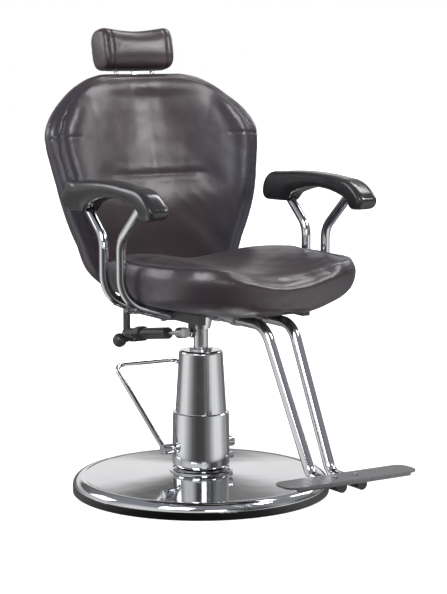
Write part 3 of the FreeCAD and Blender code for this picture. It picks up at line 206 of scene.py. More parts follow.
def studio_world():
    world = bpy.data.worlds.new("studio")
    tree = cleared(world)
    x, y, z = split(tree, put(tree, "ShaderNodeTexCoord", out="Generated"))
    height = sums(tree, "ABSOLUTE", z)
    room = ramp(tree, around_room(tree, x, y), LEVEL_BANDS)
    for starts, bands in ((LOW_STARTS, LOW_BANDS), (HIGH_STARTS, HIGH_BANDS)):
        above = ramp(tree, around_room(tree, x, y), bands)
        room = blended(tree, ramp(tree, height, starts), room, above)
    room = blended(tree, ramp(tree, height, CEILING_STARTS), room, CEILING)
    soft = put(tree, "ShaderNodeBackground", Color=DAYLIGHT, Strength=DAYLIGHT_STRENGTH)
    mirrored = put(tree, "ShaderNodeBackground", Color=room, Strength=1.0)
    plain = put(tree, "ShaderNodeBackground", Color=WHITE, Strength=1.0)
    lit = put(tree, "ShaderNodeMixShader", i0=ray(tree, "Diffuse"), i1=mirrored, i2=soft)
    seen = put(tree, "ShaderNodeMixShader", i0=ray(tree, "Camera"), i1=lit, i2=plain)
    tree.links.new(seen, tree.nodes.new("ShaderNodeOutputWorld").inputs["Surface"])
    scene.world = world
    print("room of", len(tree.nodes), "nodes")


studio_world()

# %% [markdown]
# ### The lamps
# Softboxes, as a product photographer hangs them: wide ones for the body of the light, and a
# small one in front for the streak down the middle of the back.

# %% Hang the lamps
def softbox(name, place, aim, size, watts, colour=(1, 1, 1)):
    """A rectangular lamp that the camera doesn't see."""
    data = bpy.data.lights.new(name, "AREA")
    data.shape = "RECTANGLE"
    data.size, data.size_y = size
    data.energy = watts
    data.color = colour
    lamp = bpy.data.objects.new(name, data)
    lamp.location = place
    lamp.visible_camera = False
    lamp.rotation_euler = (Vector(aim) - Vector(place)).to_track_quat("-Z", "Y").to_euler()
    scene.collection.objects.link(lamp)
    print(name, watts, "W")


softbox("key_light", (-2.5, -1.7, 2.7), (0, 0, 0.6), (1.7, 1.6), 72, (0.97, 0.98, 1.0))
softbox("left_light", (-2.2, 2.3, 1.8), (0, 0, 0.7), (1.5, 1.3), 22, (0.97, 0.96, 1.0))
softbox("fill_light", (-1.2, -3.6, 1.35), (0, 0, 0.8), (1.2, 1.0), 14, (0.93, 0.93, 1.0))
softbox("top_light", (1.8, 0.45, 3.3), (0, 0, 0.7), (1.6, 0.6), 27)
softbox("front_light", (0.92, -1.03, 1.72), (0, 0.25, 0.92), (0.34, 0.48), 9.0)
softbox("right_light", (2.9, 0.2, 2.1), (0, 0, 0.6), (0.6, 1.2), 14, (0.93, 0.95, 1.0))
scene.view_settings.view_transform = "Standard"

# %% [markdown]
# ### The floor
# White paper that keeps the object's shadow. It glows more towards its edge, so that no horizon
# shows, and what metal mirrors of it carries its own flags.

# %% Lay the floor
FLOOR_REACH = 14
PAPER_TONES = [(0.3, 0.86), (0.7, 0.88)]
GLOW_SPAN = 4.0
GLOW_RISES = [(0.12, 0.30), (0.45, 1.0)]
FLAGS_START = [(0.42, 0.10), (0.52, 1.0)]


def object_place(tree):
    """Where the shaded point lies on its object, in metres."""
    return put(tree, "ShaderNodeTexCoord", out="Object")


def floor_paper():
    material = bpy.data.materials.new("floor_paper")
    tree = cleared(material)
    here = object_place(tree)
    x, y, _ = split(tree, here)
    fleck = noise(tree, Vector=here, Scale=60.0, Detail=3.0)
    paper = put(tree, "ShaderNodeBsdfDiffuse", Color=ramp(tree, fleck, PAPER_TONES))
    far = put(tree, "ShaderNodeVectorMath", out=1, settings={"operation": "LENGTH"}, i0=here)
    glow = put(tree, "ShaderNodeEmission", Color=WHITE,
               Strength=ramp(tree, sums(tree, "DIVIDE", far, GLOW_SPAN), GLOW_RISES))
    flags = put(tree, "ShaderNodeEmission", Color=ramp(tree, around_room(tree, x, y), FLOOR_BANDS),
                Strength=ramp(tree, far, FLAGS_START))
    seen = put(tree, "ShaderNodeAddShader", i0=paper, i1=glow)
    both = put(tree, "ShaderNodeMixShader", i0=ray(tree, "Camera"), i1=paper, i2=seen)
    mirrored = put(tree, "ShaderNodeMixShader", i0=ray(tree, "Glossy"), i1=both, i2=flags)
    tree.links.new(mirrored, tree.nodes.new("ShaderNodeOutputMaterial").inputs["Surface"])
    return material


mesh = bpy.data.meshes.new("floor")
corners = [(-1, -1), (1, -1), (1, 1), (-1, 1)]
mesh.from_pydata([(FLOOR_REACH * x, FLOOR_REACH * y, 0) for x, y in corners], [], [(0, 1, 2, 3)])
mesh.materials.append(floor_paper())
floor = bpy.data.objects.new("floor", mesh)
scene.collection.objects.link(floor)
print("floor", 2 * FLOOR_REACH, "m wide")

# %% [markdown]
# ## Materials
# Effects that several materials share are shader groups, which give only masks and heights. They
# work on Object coordinates, so that a millimetre of grain is a millimetre on every piece. A
# picture of leather would be quicker, but it repeats and has to be unwrapped.

# %% Groups and finishes
def shader_group(name, inputs, outputs):
    """A shader node group with named float inputs and outputs, and its two ends."""
    tree = bpy.data.node_groups.new(name, "ShaderNodeTree")
    for label, value in inputs.items():
        socket = tree.interface.new_socket(label, in_out="INPUT", socket_type="NodeSocketFloat")
        socket.default_value = value
    for label in outputs:
        tree.interface.new_socket(label, in_out="OUTPUT", socket_type="NodeSocketFloat")
    return tree, tree.nodes.new("NodeGroupInput"), tree.nodes.new("NodeGroupOutput")


def used(tree, group):
    """Puts a group in a material and returns its outputs by name."""
    node = tree.nodes.new("ShaderNodeGroup")
    node.node_tree = group
    return {socket.name: socket for socket in node.outputs}


def scaled(tree, vector, scale):
    """Stretches coordinates along the axes."""
    return put(tree, "ShaderNodeVectorMath", settings={"operation": "MULTIPLY"}, i0=vector, i1=scale)


def bumped(tree, height, depth, strength=1.0):
    """A normal that follows a height."""
    return put(tree, "ShaderNodeBump", Strength=strength, Distance=depth, Height=height)


def finish(name, build, **uniform):
    """A Principled material: build gives its linked inputs, uniform its plain numbers."""
    material = bpy.data.materials.new(name)
    tree = cleared(material)
    shader = tree.nodes.new("ShaderNodeBsdfPrincipled")
    out = tree.nodes.new("ShaderNodeOutputMaterial")
    tree.links.new(shader.outputs[0], out.inputs["Surface"])
    for label, value in uniform.items():
        shader.inputs[label.replace("_", " ")].default_value = value
    for label, socket in build(tree).items():
        tree.links.new(socket, shader.inputs[label.replace("_", " ")])
    return material


print("group tools ready")

# %% [markdown]
# ### Embossed grain
# The vinyl is pressed with a leather pattern: rounded pebbles with creases between them, pores on
# the pebbles and long shallow folds under everything. Voronoi cells bent by a noise make pebbles
# that are alike and never the same.

# %% The grain group
PEBBLE_SHARE, PORE_SHARE, FOLD_SHARE = 0.55, 0.15, 0.5


def grain_group():
    tree, start, end = shader_group("grain", {"Cells": 520.0, "Creases": 60.0}, ["Height", "Tone"])
    here = object_place(tree)
    warp = noise(tree, out=1, Vector=here, Scale=180.0, Detail=2.0)
    bent = put(tree, "ShaderNodeMix", out=1, settings={"data_type": "VECTOR"}, i0=0.004, i4=here, i5=warp)
    cells = put(tree, "ShaderNodeTexVoronoi", settings={"feature": "DISTANCE_TO_EDGE"}, Vector=bent,
                Scale=start.outputs["Cells"])
    pebble = ramp(tree, cells, [(0.0, 0.0), (0.22, 0.8), (0.6, 1.0)])
    pores = noise(tree, Vector=here, Scale=1900.0, Detail=2.0)
    folds = noise(tree, Vector=scaled(tree, here, (1.0, 1.0, 0.45)),
                Scale=start.outputs["Creases"], Detail=4.0, Roughness=0.55)
    fine = plus(tree, times(tree, pores, PORE_SHARE),
                times(tree, folds, FOLD_SHARE))
    height = plus(tree, times(tree, pebble, PEBBLE_SHARE), fine)
    tree.links.new(height, end.inputs["Height"])
    tone = noise(tree, Vector=here, Scale=7.0, Detail=5.0, Roughness=0.62)
    tree.links.new(tone, end.inputs["Tone"])
    return tree


GRAIN = grain_group()
print("grain group of", len(GRAIN.nodes), "nodes")

# %% [markdown]
# ### Wear
# Hands and cloths leave smudges, hair scratches and a little dust on every hard surface. A
# scratch is the narrow crest of a noise that is stretched a lot along one way, and three ways
# cross each other.

# %% The wear group
SCRATCH_WAYS = ((1.0, 9.0, 1.0), (7.0, 1.0, 1.6), (1.2, 1.0, 11.0))
SCRATCH_CREST = [(0.70, 0.0), (0.73, 1.0), (0.76, 0.0)]
SMUDGES = [(0.38, 0.0), (0.68, 1.0)]
DUST = [(0.0, 1.0), (0.09, 0.5), (0.13, 0.0)]


def wear_group():
    tree, start, end = shader_group("wear", {"Smudge": 9.0, "Scratch": 140.0},
                                    ["Smudges", "Scratches", "Dust"])
    here = object_place(tree)
    cloud = noise(tree, Vector=here, Scale=start.outputs["Smudge"], Detail=6.0,
                Roughness=0.6, Distortion=0.6)
    tree.links.new(ramp(tree, cloud, SMUDGES), end.inputs["Smudges"])
    lines = []
    for stretch in SCRATCH_WAYS:
        hair = noise(tree, Vector=scaled(tree, here, stretch),
                   Scale=start.outputs["Scratch"], Detail=2.0, Roughness=0.4)
        lines.append(ramp(tree, hair, SCRATCH_CREST))
    both = sums(tree, "MAXIMUM", lines[0], lines[1])
    tree.links.new(sums(tree, "MAXIMUM", both, lines[2]), end.inputs["Scratches"])
    specks = put(tree, "ShaderNodeTexVoronoi", Vector=here, Scale=230.0, Randomness=1.0)
    tree.links.new(ramp(tree, specks, DUST), end.inputs["Dust"])
    return tree


WEAR = wear_group()
print("wear group of", len(WEAR.nodes), "nodes")

# %% [markdown]
# ### Chrome and steel
# Chrome is a mirror with a slight waviness from pressing and polishing, and faint lathe rings on
# turned pieces. Steel is ground or plated: fine lines along one axis, and on zinc the patches of
# its crystals. Wear goes mostly into the roughness, because it dulls bare metal more than it
# darkens it.

# %% Metals
CLEAN_CHROME, SMUDGED_CHROME, SCRATCHED_CHROME = 0.045, 0.05, 0.10
LATHE_DEPTH = 0.0000022
ACROSS_LINES, ALONG_LINES = 900.0, 30.0


def chrome(name, colour, waviness, rings=False):
    def build(tree):
        marks = used(tree, WEAR)
        here = object_place(tree)
        rough = plus(tree, times(tree, marks["Smudges"], SMUDGED_CHROME), CLEAN_CHROME)
        rough = plus(tree, rough, times(tree, marks["Scratches"], SCRATCHED_CHROME))
        wave = noise(tree, Vector=here, Scale=14.0, Detail=1.0)
        height = times(tree, wave, waviness)
        if rings:
            turned = put(tree, "ShaderNodeTexWave",
                         settings={"wave_type": "RINGS", "rings_direction": "Z"}, Vector=here,
                         Scale=170.0, Distortion=0.4, Detail=1.0)
            height = plus(tree, height, times(tree, turned, LATHE_DEPTH))
        dulled = blended(tree, marks["Dust"], shade(colour), shade(colour, 0.86))
        return {"Base Color": dulled, "Roughness": rough, "Normal": bumped(tree, height, 1.0, 0.6)}
    return finish(name, build, Metallic=1.0)


def steel(name, colour, roughness, axis, mottle=0.0):
    """Steel with fine lines along one axis, 0 to 2."""
    def build(tree):
        marks = used(tree, WEAR)
        here = object_place(tree)
        stretch = [ALONG_LINES if k == axis else ACROSS_LINES for k in range(3)]
        lines = noise(tree, Vector=scaled(tree, here, stretch), Scale=1.0, Detail=3.0)
        spangle = put(tree, "ShaderNodeTexVoronoi", out=1, Vector=here, Scale=160.0)
        patch = put(tree, "ShaderNodeSeparateColor", i0=spangle)
        tone = blended(tree, times(tree, patch, mottle), shade(colour), shade(colour, 0.72))
        tone = blended(tree, times(tree, marks["Smudges"], 0.25), tone, shade(colour, 0.8))
        rough = plus(tree, times(tree, lines, 0.16), roughness)
        return {"Base Color": tone, "Roughness": rough, "Normal": bumped(tree, lines, 0.00003, 0.5)}
    return finish(name, build, Metallic=1.0)


print("metal recipes: chrome, steel")

# %% [markdown]
# ### Paint, rubber and moulding
# Sprayed paint dries with an orange peel and wears through where edges are rubbed. A Bevel node
# finds those edges: where the rounded normal leaves the face's own normal, an edge is near. The
# same recipe with a finer or coarser peel serves rubber, plastic, moulded foam and thread.

# %% Paint
EDGE_WIDTH = 0.0012
EDGE_FOUND = [(0.80, 1.0), (0.97, 0.0)]
EDGE_RAGGED = [(0.48, 0.0), (0.60, 0.8)]


def paint(name, colour, roughness, peel, depth, worn, coat=0.0):
    def build(tree):
        marks = used(tree, WEAR)
        here = object_place(tree)
        bumps = noise(tree, Vector=here, Scale=peel, Detail=3.0, Roughness=0.5)
        rounded = put(tree, "ShaderNodeBevel", settings={"samples": 4}, Radius=EDGE_WIDTH)
        face = put(tree, "ShaderNodeNewGeometry", out="Normal")
        along = put(tree, "ShaderNodeVectorMath", out=1, settings={"operation": "DOT_PRODUCT"},
                    i0=rounded, i1=face)
        ragged = noise(tree, Vector=here, Scale=160.0, Detail=4.0)
        bare = times(tree, ramp(tree, along, EDGE_FOUND), ramp(tree, ragged, EDGE_RAGGED))
        smudged = tuple(min(1.0, c * 1.7 + 0.004) for c in colour)
        tone = blended(tree, times(tree, marks["Smudges"], 0.5), shade(colour), shade(smudged))
        tone = blended(tree, bare, tone, shade(worn))
        rough = plus(tree, times(tree, marks["Smudges"], 0.12), roughness)
        return {"Base Color": tone, "Roughness": rough, "Normal": bumped(tree, bumps, depth, 0.8)}
    return finish(name, build, Coat_Weight=coat, Coat_Roughness=0.15)


print("paint recipe ready")

# %% [markdown]
# ### Plywood
# The seat board is pale birch ply with dark glue lines. Its rim turns near black: painted shade, for the
# shade that falls under the seat. The mask is a distance from the board's middle.

# %% Plywood
BOARD_MIDDLE_Y = -0.101
BOARD_HALF_WIDTH, BOARD_HALF_LENGTH = 0.140, 0.189
RIM_SHADE_STARTS = [(0.60, 0.0), (0.66, 1.0)]


def plywood(name):
    def build(tree):
        here = object_place(tree)
        grain = noise(tree, Vector=scaled(tree, here, (160.0, 9.0, 160.0)),
                    Scale=1.0, Detail=5.0, Roughness=0.6, Distortion=0.4)
        layers = put(tree, "ShaderNodeTexWave", settings={"bands_direction": "Z"}, Vector=here,
                     Scale=130.0, Distortion=0.6, Detail=1.0)
        tone = ramp(tree, grain, [(0.30, (0.40, 0.27, 0.15)), (0.75, (0.66, 0.51, 0.33))])
        glue = times(tree, ramp(tree, layers, [(0.0, 1.0), (0.25, 0.0)]), 0.5)
        tone = blended(tree, glue, tone, (0.18, 0.11, 0.06, 1))
        x, y, _ = split(tree, here)
        across = sums(tree, "DIVIDE", sums(tree, "ABSOLUTE", x), BOARD_HALF_WIDTH)
        from_middle = sums(tree, "ABSOLUTE", plus(tree, y, -BOARD_MIDDLE_Y))
        along = sums(tree, "DIVIDE", from_middle, BOARD_HALF_LENGTH)
        # Painted shade: the rim of the board, seen under the seat, turns near black.
        rim = ramp(tree, sums(tree, "MAXIMUM", across, along), RIM_SHADE_STARTS)
        tone = blended(tree, rim, tone, (0.022, 0.021, 0.021, 1))
        return {"Base Color": tone, "Normal": bumped(tree, grain, 0.0002, 0.6)}
    return finish(name, build, Roughness=0.62)


print("plywood recipe ready")

# %% [markdown]
# ### Upholstery vinyl
# Near black, with a painted colour cast of the studio light: brown in the middle and blue-violet towards
# the sides.
# The grain's bump is weak: a strong one spreads every highlight and turns the gloss to satin.

# %% Vinyl
PAINTED_CAST_MIDDLE_X, PAINTED_CAST_SCALE = -0.035, 3.2
PAINTED_CAST_TURNS = [(0.34, 0.0), (0.72, 1.0)]
CREASE_SHADE_COLOUR = (0.008, 0.007, 0.008, 1)


def vinyl(name, brown, blue, roughness, fold_depth):
    def build(tree):
        skin = used(tree, GRAIN)
        here = object_place(tree)
        # Painted light: a colour cast runs from brown in the middle to blue-violet towards the sides, by
        # distance across from the middle.
        painted_cast_share = sums(tree, "ABSOLUTE", plus(tree, split(tree, here)[0], -PAINTED_CAST_MIDDLE_X))
        painted_cast_share = ramp(tree, times(tree, painted_cast_share, PAINTED_CAST_SCALE), PAINTED_CAST_TURNS)
        patch = ramp(tree, skin["Tone"], [(0.32, 0.0), (0.70, 1.0)])
        tone = blended(tree, patch, blended(tree, painted_cast_share, shade(brown), shade(blue)), shade(brown, 0.62))
        # Painted shade: the creases of the grain are darkened towards near black.
        crease_shade = ramp(tree, skin["Height"], [(0.35, 1.0), (0.60, 0.0)])
        tone = blended(tree, times(tree, crease_shade, 0.35), tone, CREASE_SHADE_COLOUR)
        rough = plus(tree, times(tree, patch, 0.07), roughness)
        rough = plus(tree, rough, times(tree, crease_shade, 0.05))
        soft = noise(tree, Vector=here, Scale=16.0, Detail=2.0, Roughness=0.4)
        fold = bumped(tree, soft, fold_depth, 0.5)
        fine = put(tree, "ShaderNodeBump", Strength=0.13, Distance=0.0006, Height=skin["Height"],
                   Normal=fold)
        return {"Base Color": tone, "Roughness": rough, "Normal": fine}
    return finish(name, build, Specular_IOR_Level=0.70, Sheen_Weight=0.04, Sheen_Roughness=0.4,
                  Coat_Weight=0.08, Coat_Roughness=0.30)


print("vinyl recipe ready")

# %% [markdown]
# ### The finishes of this chair
# One table holds them all, with a recipe and its numbers for each. Every CAD node then takes the finish of
# its slot in the record. The footrest plate has a finish of its own: a steel much darker and duller than
# the other chrome.

# %% Dress the CAD nodes
RECIPES = {
    "chrome_base": (chrome, dict(colour=(0.66, 0.665, 0.68), waviness=0.0004, rings=True)),
    "chrome_tube": (chrome, dict(colour=(0.64, 0.645, 0.66), waviness=0.0001)),
    "bright_steel": (steel, dict(colour=(0.60, 0.60, 0.61), roughness=0.16, axis=2)),
    "zinc_steel": (steel, dict(colour=(0.56, 0.57, 0.59), roughness=0.28, axis=1, mottle=0.9)),
    "tread_steel": (steel, dict(colour=(0.25, 0.25, 0.26), roughness=0.26, axis=0, mottle=0.5)),
    "oil_steel": (steel, dict(colour=(0.36, 0.36, 0.37), roughness=0.22, axis=0)),
    "bronze": (steel, dict(colour=(0.50, 0.33, 0.15), roughness=0.25, axis=0, mottle=0.3)),
    "black_steel": (paint, dict(colour=(0.022, 0.021, 0.023), roughness=0.30, peel=420.0, depth=0.0002,
                                worn=(0.20, 0.20, 0.21), coat=0.2)),
    "cast": (paint, dict(colour=(0.055, 0.055, 0.058), roughness=0.60, peel=240.0, depth=0.0008,
                         worn=(0.13, 0.12, 0.11))),
    "rubber_ring": (paint, dict(colour=(0.020, 0.020, 0.021), roughness=0.72, peel=900.0,
                                depth=0.0002, worn=(0.06, 0.06, 0.06))),
    "black_plastic": (paint, dict(colour=(0.020, 0.020, 0.021), roughness=0.26, peel=1100.0,
                                  depth=0.00006, worn=(0.05, 0.05, 0.05))),
    "black_moulding": (paint, dict(colour=(0.015, 0.014, 0.015), roughness=0.15, peel=260.0,
                                   depth=0.00005, worn=(0.030, 0.030, 0.030), coat=0.25)),
    "thread": (paint, dict(colour=(0.013, 0.011, 0.013), roughness=0.75, peel=2600.0,
                           depth=0.00005, worn=(0.05, 0.05, 0.05))),
    "plywood": (plywood, {}),
    "black_vinyl": (vinyl, dict(brown=(0.043, 0.026, 0.028), blue=(0.025, 0.024, 0.047),
                                roughness=0.27, fold_depth=0.003)),
}
materials = {name: recipe(name, **numbers) for name, (recipe, numbers) in RECIPES.items()}

slot_of = {part["node"]: part["material_slot"] for part in frame["record"]["subparts"]}
for name, node in nodes.items():
    node.data.materials.clear()
    node.data.materials.append(materials[slot_of[name]])
nodes["footrest_plate"].data.materials[0] = materials["tread_steel"]
print(len(nodes), "CAD nodes dressed in", len(set(slot_of.values())), "materials")

# %% [markdown]
# ## Cushions
# A cushion is a cover pulled over foam. It could be sculpted by hand, but then the shape can't be
# changed by a number. Here each starts as a closed skin, lofted from the same sections as its CAD
# solid. It is remeshed into even cells, shaped, blown up as cloth round the seams that hold it,
# and smoothed by one subdivision.
#
# The back leans on its hinge, so it gets a frame of its own: x across it, w through it and v up it.

# %% The back's own frame
LEAN = math.radians(12)
HINGE = Vector((0, 0.207, 0.417))
COS, SIN = math.cos(LEAN), math.sin(LEAN)


def from_back(x, w, v):
    """Points from the back's own frame."""
    x, w, v = np.broadcast_arrays(*(np.asarray(k, float) for k in (x, w, v)))
    return np.stack([x, HINGE.y + w * COS + v * SIN, HINGE.z - w * SIN + v * COS], -1)


def to_back(points):
    """The x, w and v of points."""
    y, z = points[:, 1] - HINGE.y, points[:, 2] - HINGE.z
    return points[:, 0], y * COS - z * SIN, y * SIN + z * COS


print("back leans", round(math.degrees(LEAN)), "degrees")

# %% [markdown]
# ### Skins from sections
# A table gives a few sections, `eased` fills in the rest with smooth curves, and `skin` joins the
# rings of points into a closed mesh. An end is closed by smaller and smaller rings, because one
# big flat face would stay flat when the piece is blown up.

# %% Loft a skin
END_RINGS = [0.86, 0.68, 0.46, 0.22]


def power(value, exponent):
    """A power that keeps the sign."""
    return np.sign(value) * np.abs(value) ** exponent


def once_round(count, across, through, closed=False):
    """The cosines and sines of a circle, squared up by two exponents below 1."""
    turn = np.linspace(0, 2 * math.pi, count, endpoint=closed)
    return power(np.cos(turn), across), power(np.sin(turn), through)


def eased(table, count):
    """Even rows between the rows of a table, along smooth curves."""
    table = np.array(table, float)
    level = table[:, 0]
    even = np.linspace(level[0], level[-1], count)
    slopes = np.gradient(table, level, axis=0)
    k = np.clip(np.searchsorted(level, even, side="right") - 1, 0, len(level) - 2)
    span = level[k + 1] - level[k]
    t = ((even - level[k]) / span)[:, None]
    span = span[:, None]
    a, b, m, n = table[k], table[k + 1], slopes[k] * span, slopes[k + 1] * span
    return a + m * t + (3 * (b - a) - 2 * m - n) * t ** 2 + (2 * (a - b) + m + n) * t ** 3


def placed(name, mesh):
    """A new object at the origin."""
    thing = bpy.data.objects.new(name, mesh)
    scene.collection.objects.link(thing)
    return thing


def skin(name, rings, crown=0.0):
    """A closed mesh from stacked rings of points; crown is the rise of its last end."""
    count = rings.shape[1]

    def end(ring, rise):
        middle = ring.mean(0)
        axis = np.cross(ring[count // 4] - ring[0], ring[count // 2] - ring[0])
        axis /= np.linalg.norm(axis)
        return [middle + (ring - middle) * s + axis * rise * (1 - s * s) for s in END_RINGS]

    rows = end(rings[0], 0.0)[::-1] + list(rings) + end(rings[-1], crown)
    faces = []
    for r in range(len(rows) - 1):
        for c in range(count):
            d = (c + 1) % count
            faces.append((r * count + c, r * count + d, (r + 1) * count + d, (r + 1) * count + c))
    faces.append(tuple(range(count))[::-1])
    faces.append(tuple(range((len(rows) - 1) * count, len(rows) * count)))
    mesh = bpy.data.meshes.new(name)
    mesh.from_pydata(np.concatenate(rows).tolist(), [], faces)
    return placed(name, mesh)


print("loft tools: once_round, eased, placed, skin")

# %% [markdown]
# ### Meshes as tables of points
# Whole meshes are read and written as arrays, which is far quicker than a loop over vertices.

# %% Read, write and clean a mesh
def coordinates(thing):
    """The places of all vertices."""
    flat = np.empty(len(thing.data.vertices) * 3)
    thing.data.vertices.foreach_get("co", flat)
    return flat.reshape(-1, 3)


def set_coordinates(thing, points):
    thing.data.vertices.foreach_set("co", np.asarray(points, float).ravel())
    thing.data.update()


def normals(thing):
    """The outward direction at all vertices."""
    flat = np.empty(len(thing.data.vertices) * 3, np.float32)
    thing.data.vertex_normals.foreach_get("vector", flat)
    return flat.reshape(-1, 3).astype(float)


def lifted(thing, lift):
    """Moves every vertex outwards by its own lift."""
    set_coordinates(thing, coordinates(thing) + normals(thing) * lift[:, None])


def settled(thing):
    """Applies the modifiers that a piece has."""
    graph = bpy.context.evaluated_depsgraph_get()
    graph.update()
    mesh = bpy.data.meshes.new_from_object(thing.evaluated_get(graph))
    thing.modifiers.clear()
    old = thing.data
    thing.data = mesh
    bpy.data.meshes.remove(old)
    return thing


def outward(thing):
    """Turns all faces outwards."""
    work = bmesh.new()
    work.from_mesh(thing.data)
    bmesh.ops.recalc_face_normals(work, faces=work.faces)
    work.to_mesh(thing.data)
    work.free()
    return thing


def remeshed(thing, size):
    """Rebuilds a closed piece from even cells."""
    cells = thing.modifiers.new("cells", "REMESH")
    cells.mode = "VOXEL"
    cells.voxel_size = size
    return settled(thing)


def cushion(name, rings, cell, crown=0.0, shape=None):
    """Lofts, remeshes and shapes a soft piece."""
    thing = remeshed(outward(skin(name, rings, crown)), cell)
    if shape:
        set_coordinates(thing, shape(coordinates(thing)))
    return thing


def subdivided(thing):
    """One smooth subdivision."""
    smooth = thing.modifiers.new("smooth", "SUBSURF")
    smooth.levels = smooth.render_levels = 1
    settled(thing)
    thing.data.polygons.foreach_set("use_smooth", [True] * len(thing.data.polygons))


print("mesh tools ready")

# %% [markdown]
# ### Blown up as cloth
# Foam presses its cover outwards everywhere but at the seams. A cloth with air pressure in it
# does the same. Raw cloth also crumples where its cells are small, so only a share of those
# gathers is kept, and no point may move farther than a cap.

# %% Puff a piece
PRESSURE = 4.0
STRETCH_STIFFNESS, BENDING_STIFFNESS = 22, 1.5
CLOTH_QUALITY, CLOTH_FRAMES = 6, 20
CALMING_PASSES = 18
LEAST_HELD = 0.02


def evened(thing, field, passes):
    """Averages a field of vectors over neighbouring vertices."""
    pairs = np.empty(len(thing.data.edges) * 2, np.int32)
    thing.data.edges.foreach_get("vertices", pairs)
    a, b = pairs.reshape(-1, 2).T
    count = len(thing.data.vertices)
    degree = np.maximum(np.bincount(a, minlength=count) + np.bincount(b, minlength=count), 1)
    for _ in range(passes):
        around = [np.bincount(a, field[b, k], count) + np.bincount(b, field[a, k], count) for k in range(3)]
        field = (field + np.stack(around, -1) / degree[:, None]) / 2
    return field


def cloth_rules(thing):
    """Adds a cloth modifier that puffs a piece up and is held where its group says."""
    cloth = thing.modifiers.new("cloth", "CLOTH")
    rules = cloth.settings
    rules.vertex_group_mass = "held"
    rules.use_pressure = True
    rules.uniform_pressure_force = PRESSURE
    rules.effector_weights.gravity = 0
    rules.tension_stiffness = rules.compression_stiffness = STRETCH_STIFFNESS
    rules.bending_stiffness = BENDING_STIFFNESS
    rules.quality = CLOTH_QUALITY
    cloth.collision_settings.use_collision = False
    cloth.point_cache.frame_start = 1
    cloth.point_cache.frame_end = CLOTH_FRAMES


def blown(thing, held, cap, pucker=0.3):
    """Blows a piece up. held is 1 where it is fixed; no point moves more than cap; pucker is the
    share of the small gathers that stays."""
    before = coordinates(thing)
    group = thing.vertex_groups.new(name="held")
    for index in np.nonzero(held > LEAST_HELD)[0]:
        group.add([int(index)], float(held[index]), "REPLACE")
    cloth_rules(thing)
    for step in range(1, CLOTH_FRAMES + 1):
        scene.frame_set(step)
    after = coordinates(thing.evaluated_get(bpy.context.evaluated_depsgraph_get()))
    thing.modifiers.clear()
    thing.vertex_groups.clear()
    move = after - before
    length = np.linalg.norm(move, axis=1, keepdims=True)
    move *= np.tanh(length / cap) * cap / np.maximum(length, 1e-9)
    calm = evened(thing, move, CALMING_PASSES)
    set_coordinates(thing, before + calm + pucker * (move - calm))
    scene.frame_set(1)
    print(thing.name, "puffed by up to", round(float(length.max()) * 1000, 1), "mm, capped at", cap * 1000)


print("cloth of", CLOTH_FRAMES, "frames")

# %% [markdown]
# ### Seams
# A seam is a line of points, set by a few corners and dropped onto the surface. `from_line` gives
# every vertex its distance to it, which drives the groove, the puff beside it and the part of the
# cloth that the thread holds.

# %% Lines on a surface
LINE_STEP = 0.004
START_OUTSIDE = 0.6


def bell(value, width):
    """1 at zero, falling away smoothly on both sides."""
    return np.exp(-(value / width) ** 2)


def ridge(off, height, width, at=0.0):
    """A smooth ridge along a line, or beside it; off is the distance to the line."""
    return height * bell(off - at, width)


def step_between(value, low, high):
    """0 below low, 1 above high, smooth between."""
    t = np.clip((value - low) / (high - low), 0, 1)
    return t * t * (3 - 2 * t)


def dense(points, gap):
    """Even points along a polyline."""
    points = np.asarray(points, float)
    steps = np.linalg.norm(np.diff(points, axis=0), axis=1)
    along = np.concatenate([[0], np.cumsum(steps)])
    even = np.linspace(0, along[-1], max(2, int(along[-1] / gap)))
    return np.stack([np.interp(even, along, points[:, k]) for k in range(3)], -1)


def from_line(points, *lines):
    """The distance of each point to the nearest of some lines."""
    best = np.full(len(points), 1e9)
    for line in lines:
        for spot in dense(line, LINE_STEP):
            best = np.minimum(best, ((points - spot) ** 2).sum(1))
    return np.sqrt(best)


def surface(thing):
    return BVHTree.FromObject(thing, bpy.context.evaluated_depsgraph_get())


def seam_line(thing, corners, direction, gap=LINE_STEP):
    """A line through corners, dropped along a direction onto the surface of a piece."""
    tree = surface(thing)
    direction = Vector(direction).normalized()
    hits = [tree.ray_cast(Vector(point) - direction * START_OUTSIDE, direction)[0]
            for point in dense(corners, gap)]
    return np.array([hit for hit in hits if hit is not None])


def on_skin(thing, points):
    """The nearest surface point and normal for each point."""
    tree = surface(thing)
    hits = [tree.find_nearest(Vector(point)) for point in np.asarray(points, float)]
    return np.array([h[0] for h in hits]), np.array([h[1] for h in hits])


def mirrored(corners):
    """The right half of a line and its mirror image, as one line."""
    return [(-a, b) for a, b in corners] + [(a, b) for a, b in corners[::-1]]


print("seam tools ready")

# %% [markdown]
# ### A little unevenness
# Vinyl over foam is never quite even. A few crossed waves of random direction, with a fixed seed,
# break up the highlights. A tenth of a millimetre is enough on a glossy surface.

# %% Waves
WAVE_COUNT = 14
WAVES = np.random.default_rng(11)
WAVE_TURN = WAVES.uniform(0, 2 * math.pi, (WAVE_COUNT, 2))
WAVE_LENGTH = WAVES.uniform(0.040, 0.105, WAVE_COUNT)
WAVE_PHASE = WAVES.uniform(0, 2 * math.pi, WAVE_COUNT)


def uneven(points, depth):
    """Waves over a surface, about depth high."""
    lean, turn = np.cos(WAVE_TURN[:, 0]), WAVE_TURN[:, 1]
    level = np.sqrt(1 - lean ** 2)
    ways = np.stack([level * np.cos(turn), level * np.sin(turn), lean], -1)
    ways = ways * (2 * math.pi / WAVE_LENGTH)[:, None]
    return depth * np.sin(points @ ways.T + WAVE_PHASE).sum(1) / math.sqrt(WAVE_COUNT / 2)


print(WAVE_COUNT, "waves from", round(WAVE_LENGTH.min(), 3), "to", round(WAVE_LENGTH.max(), 3), "m long")

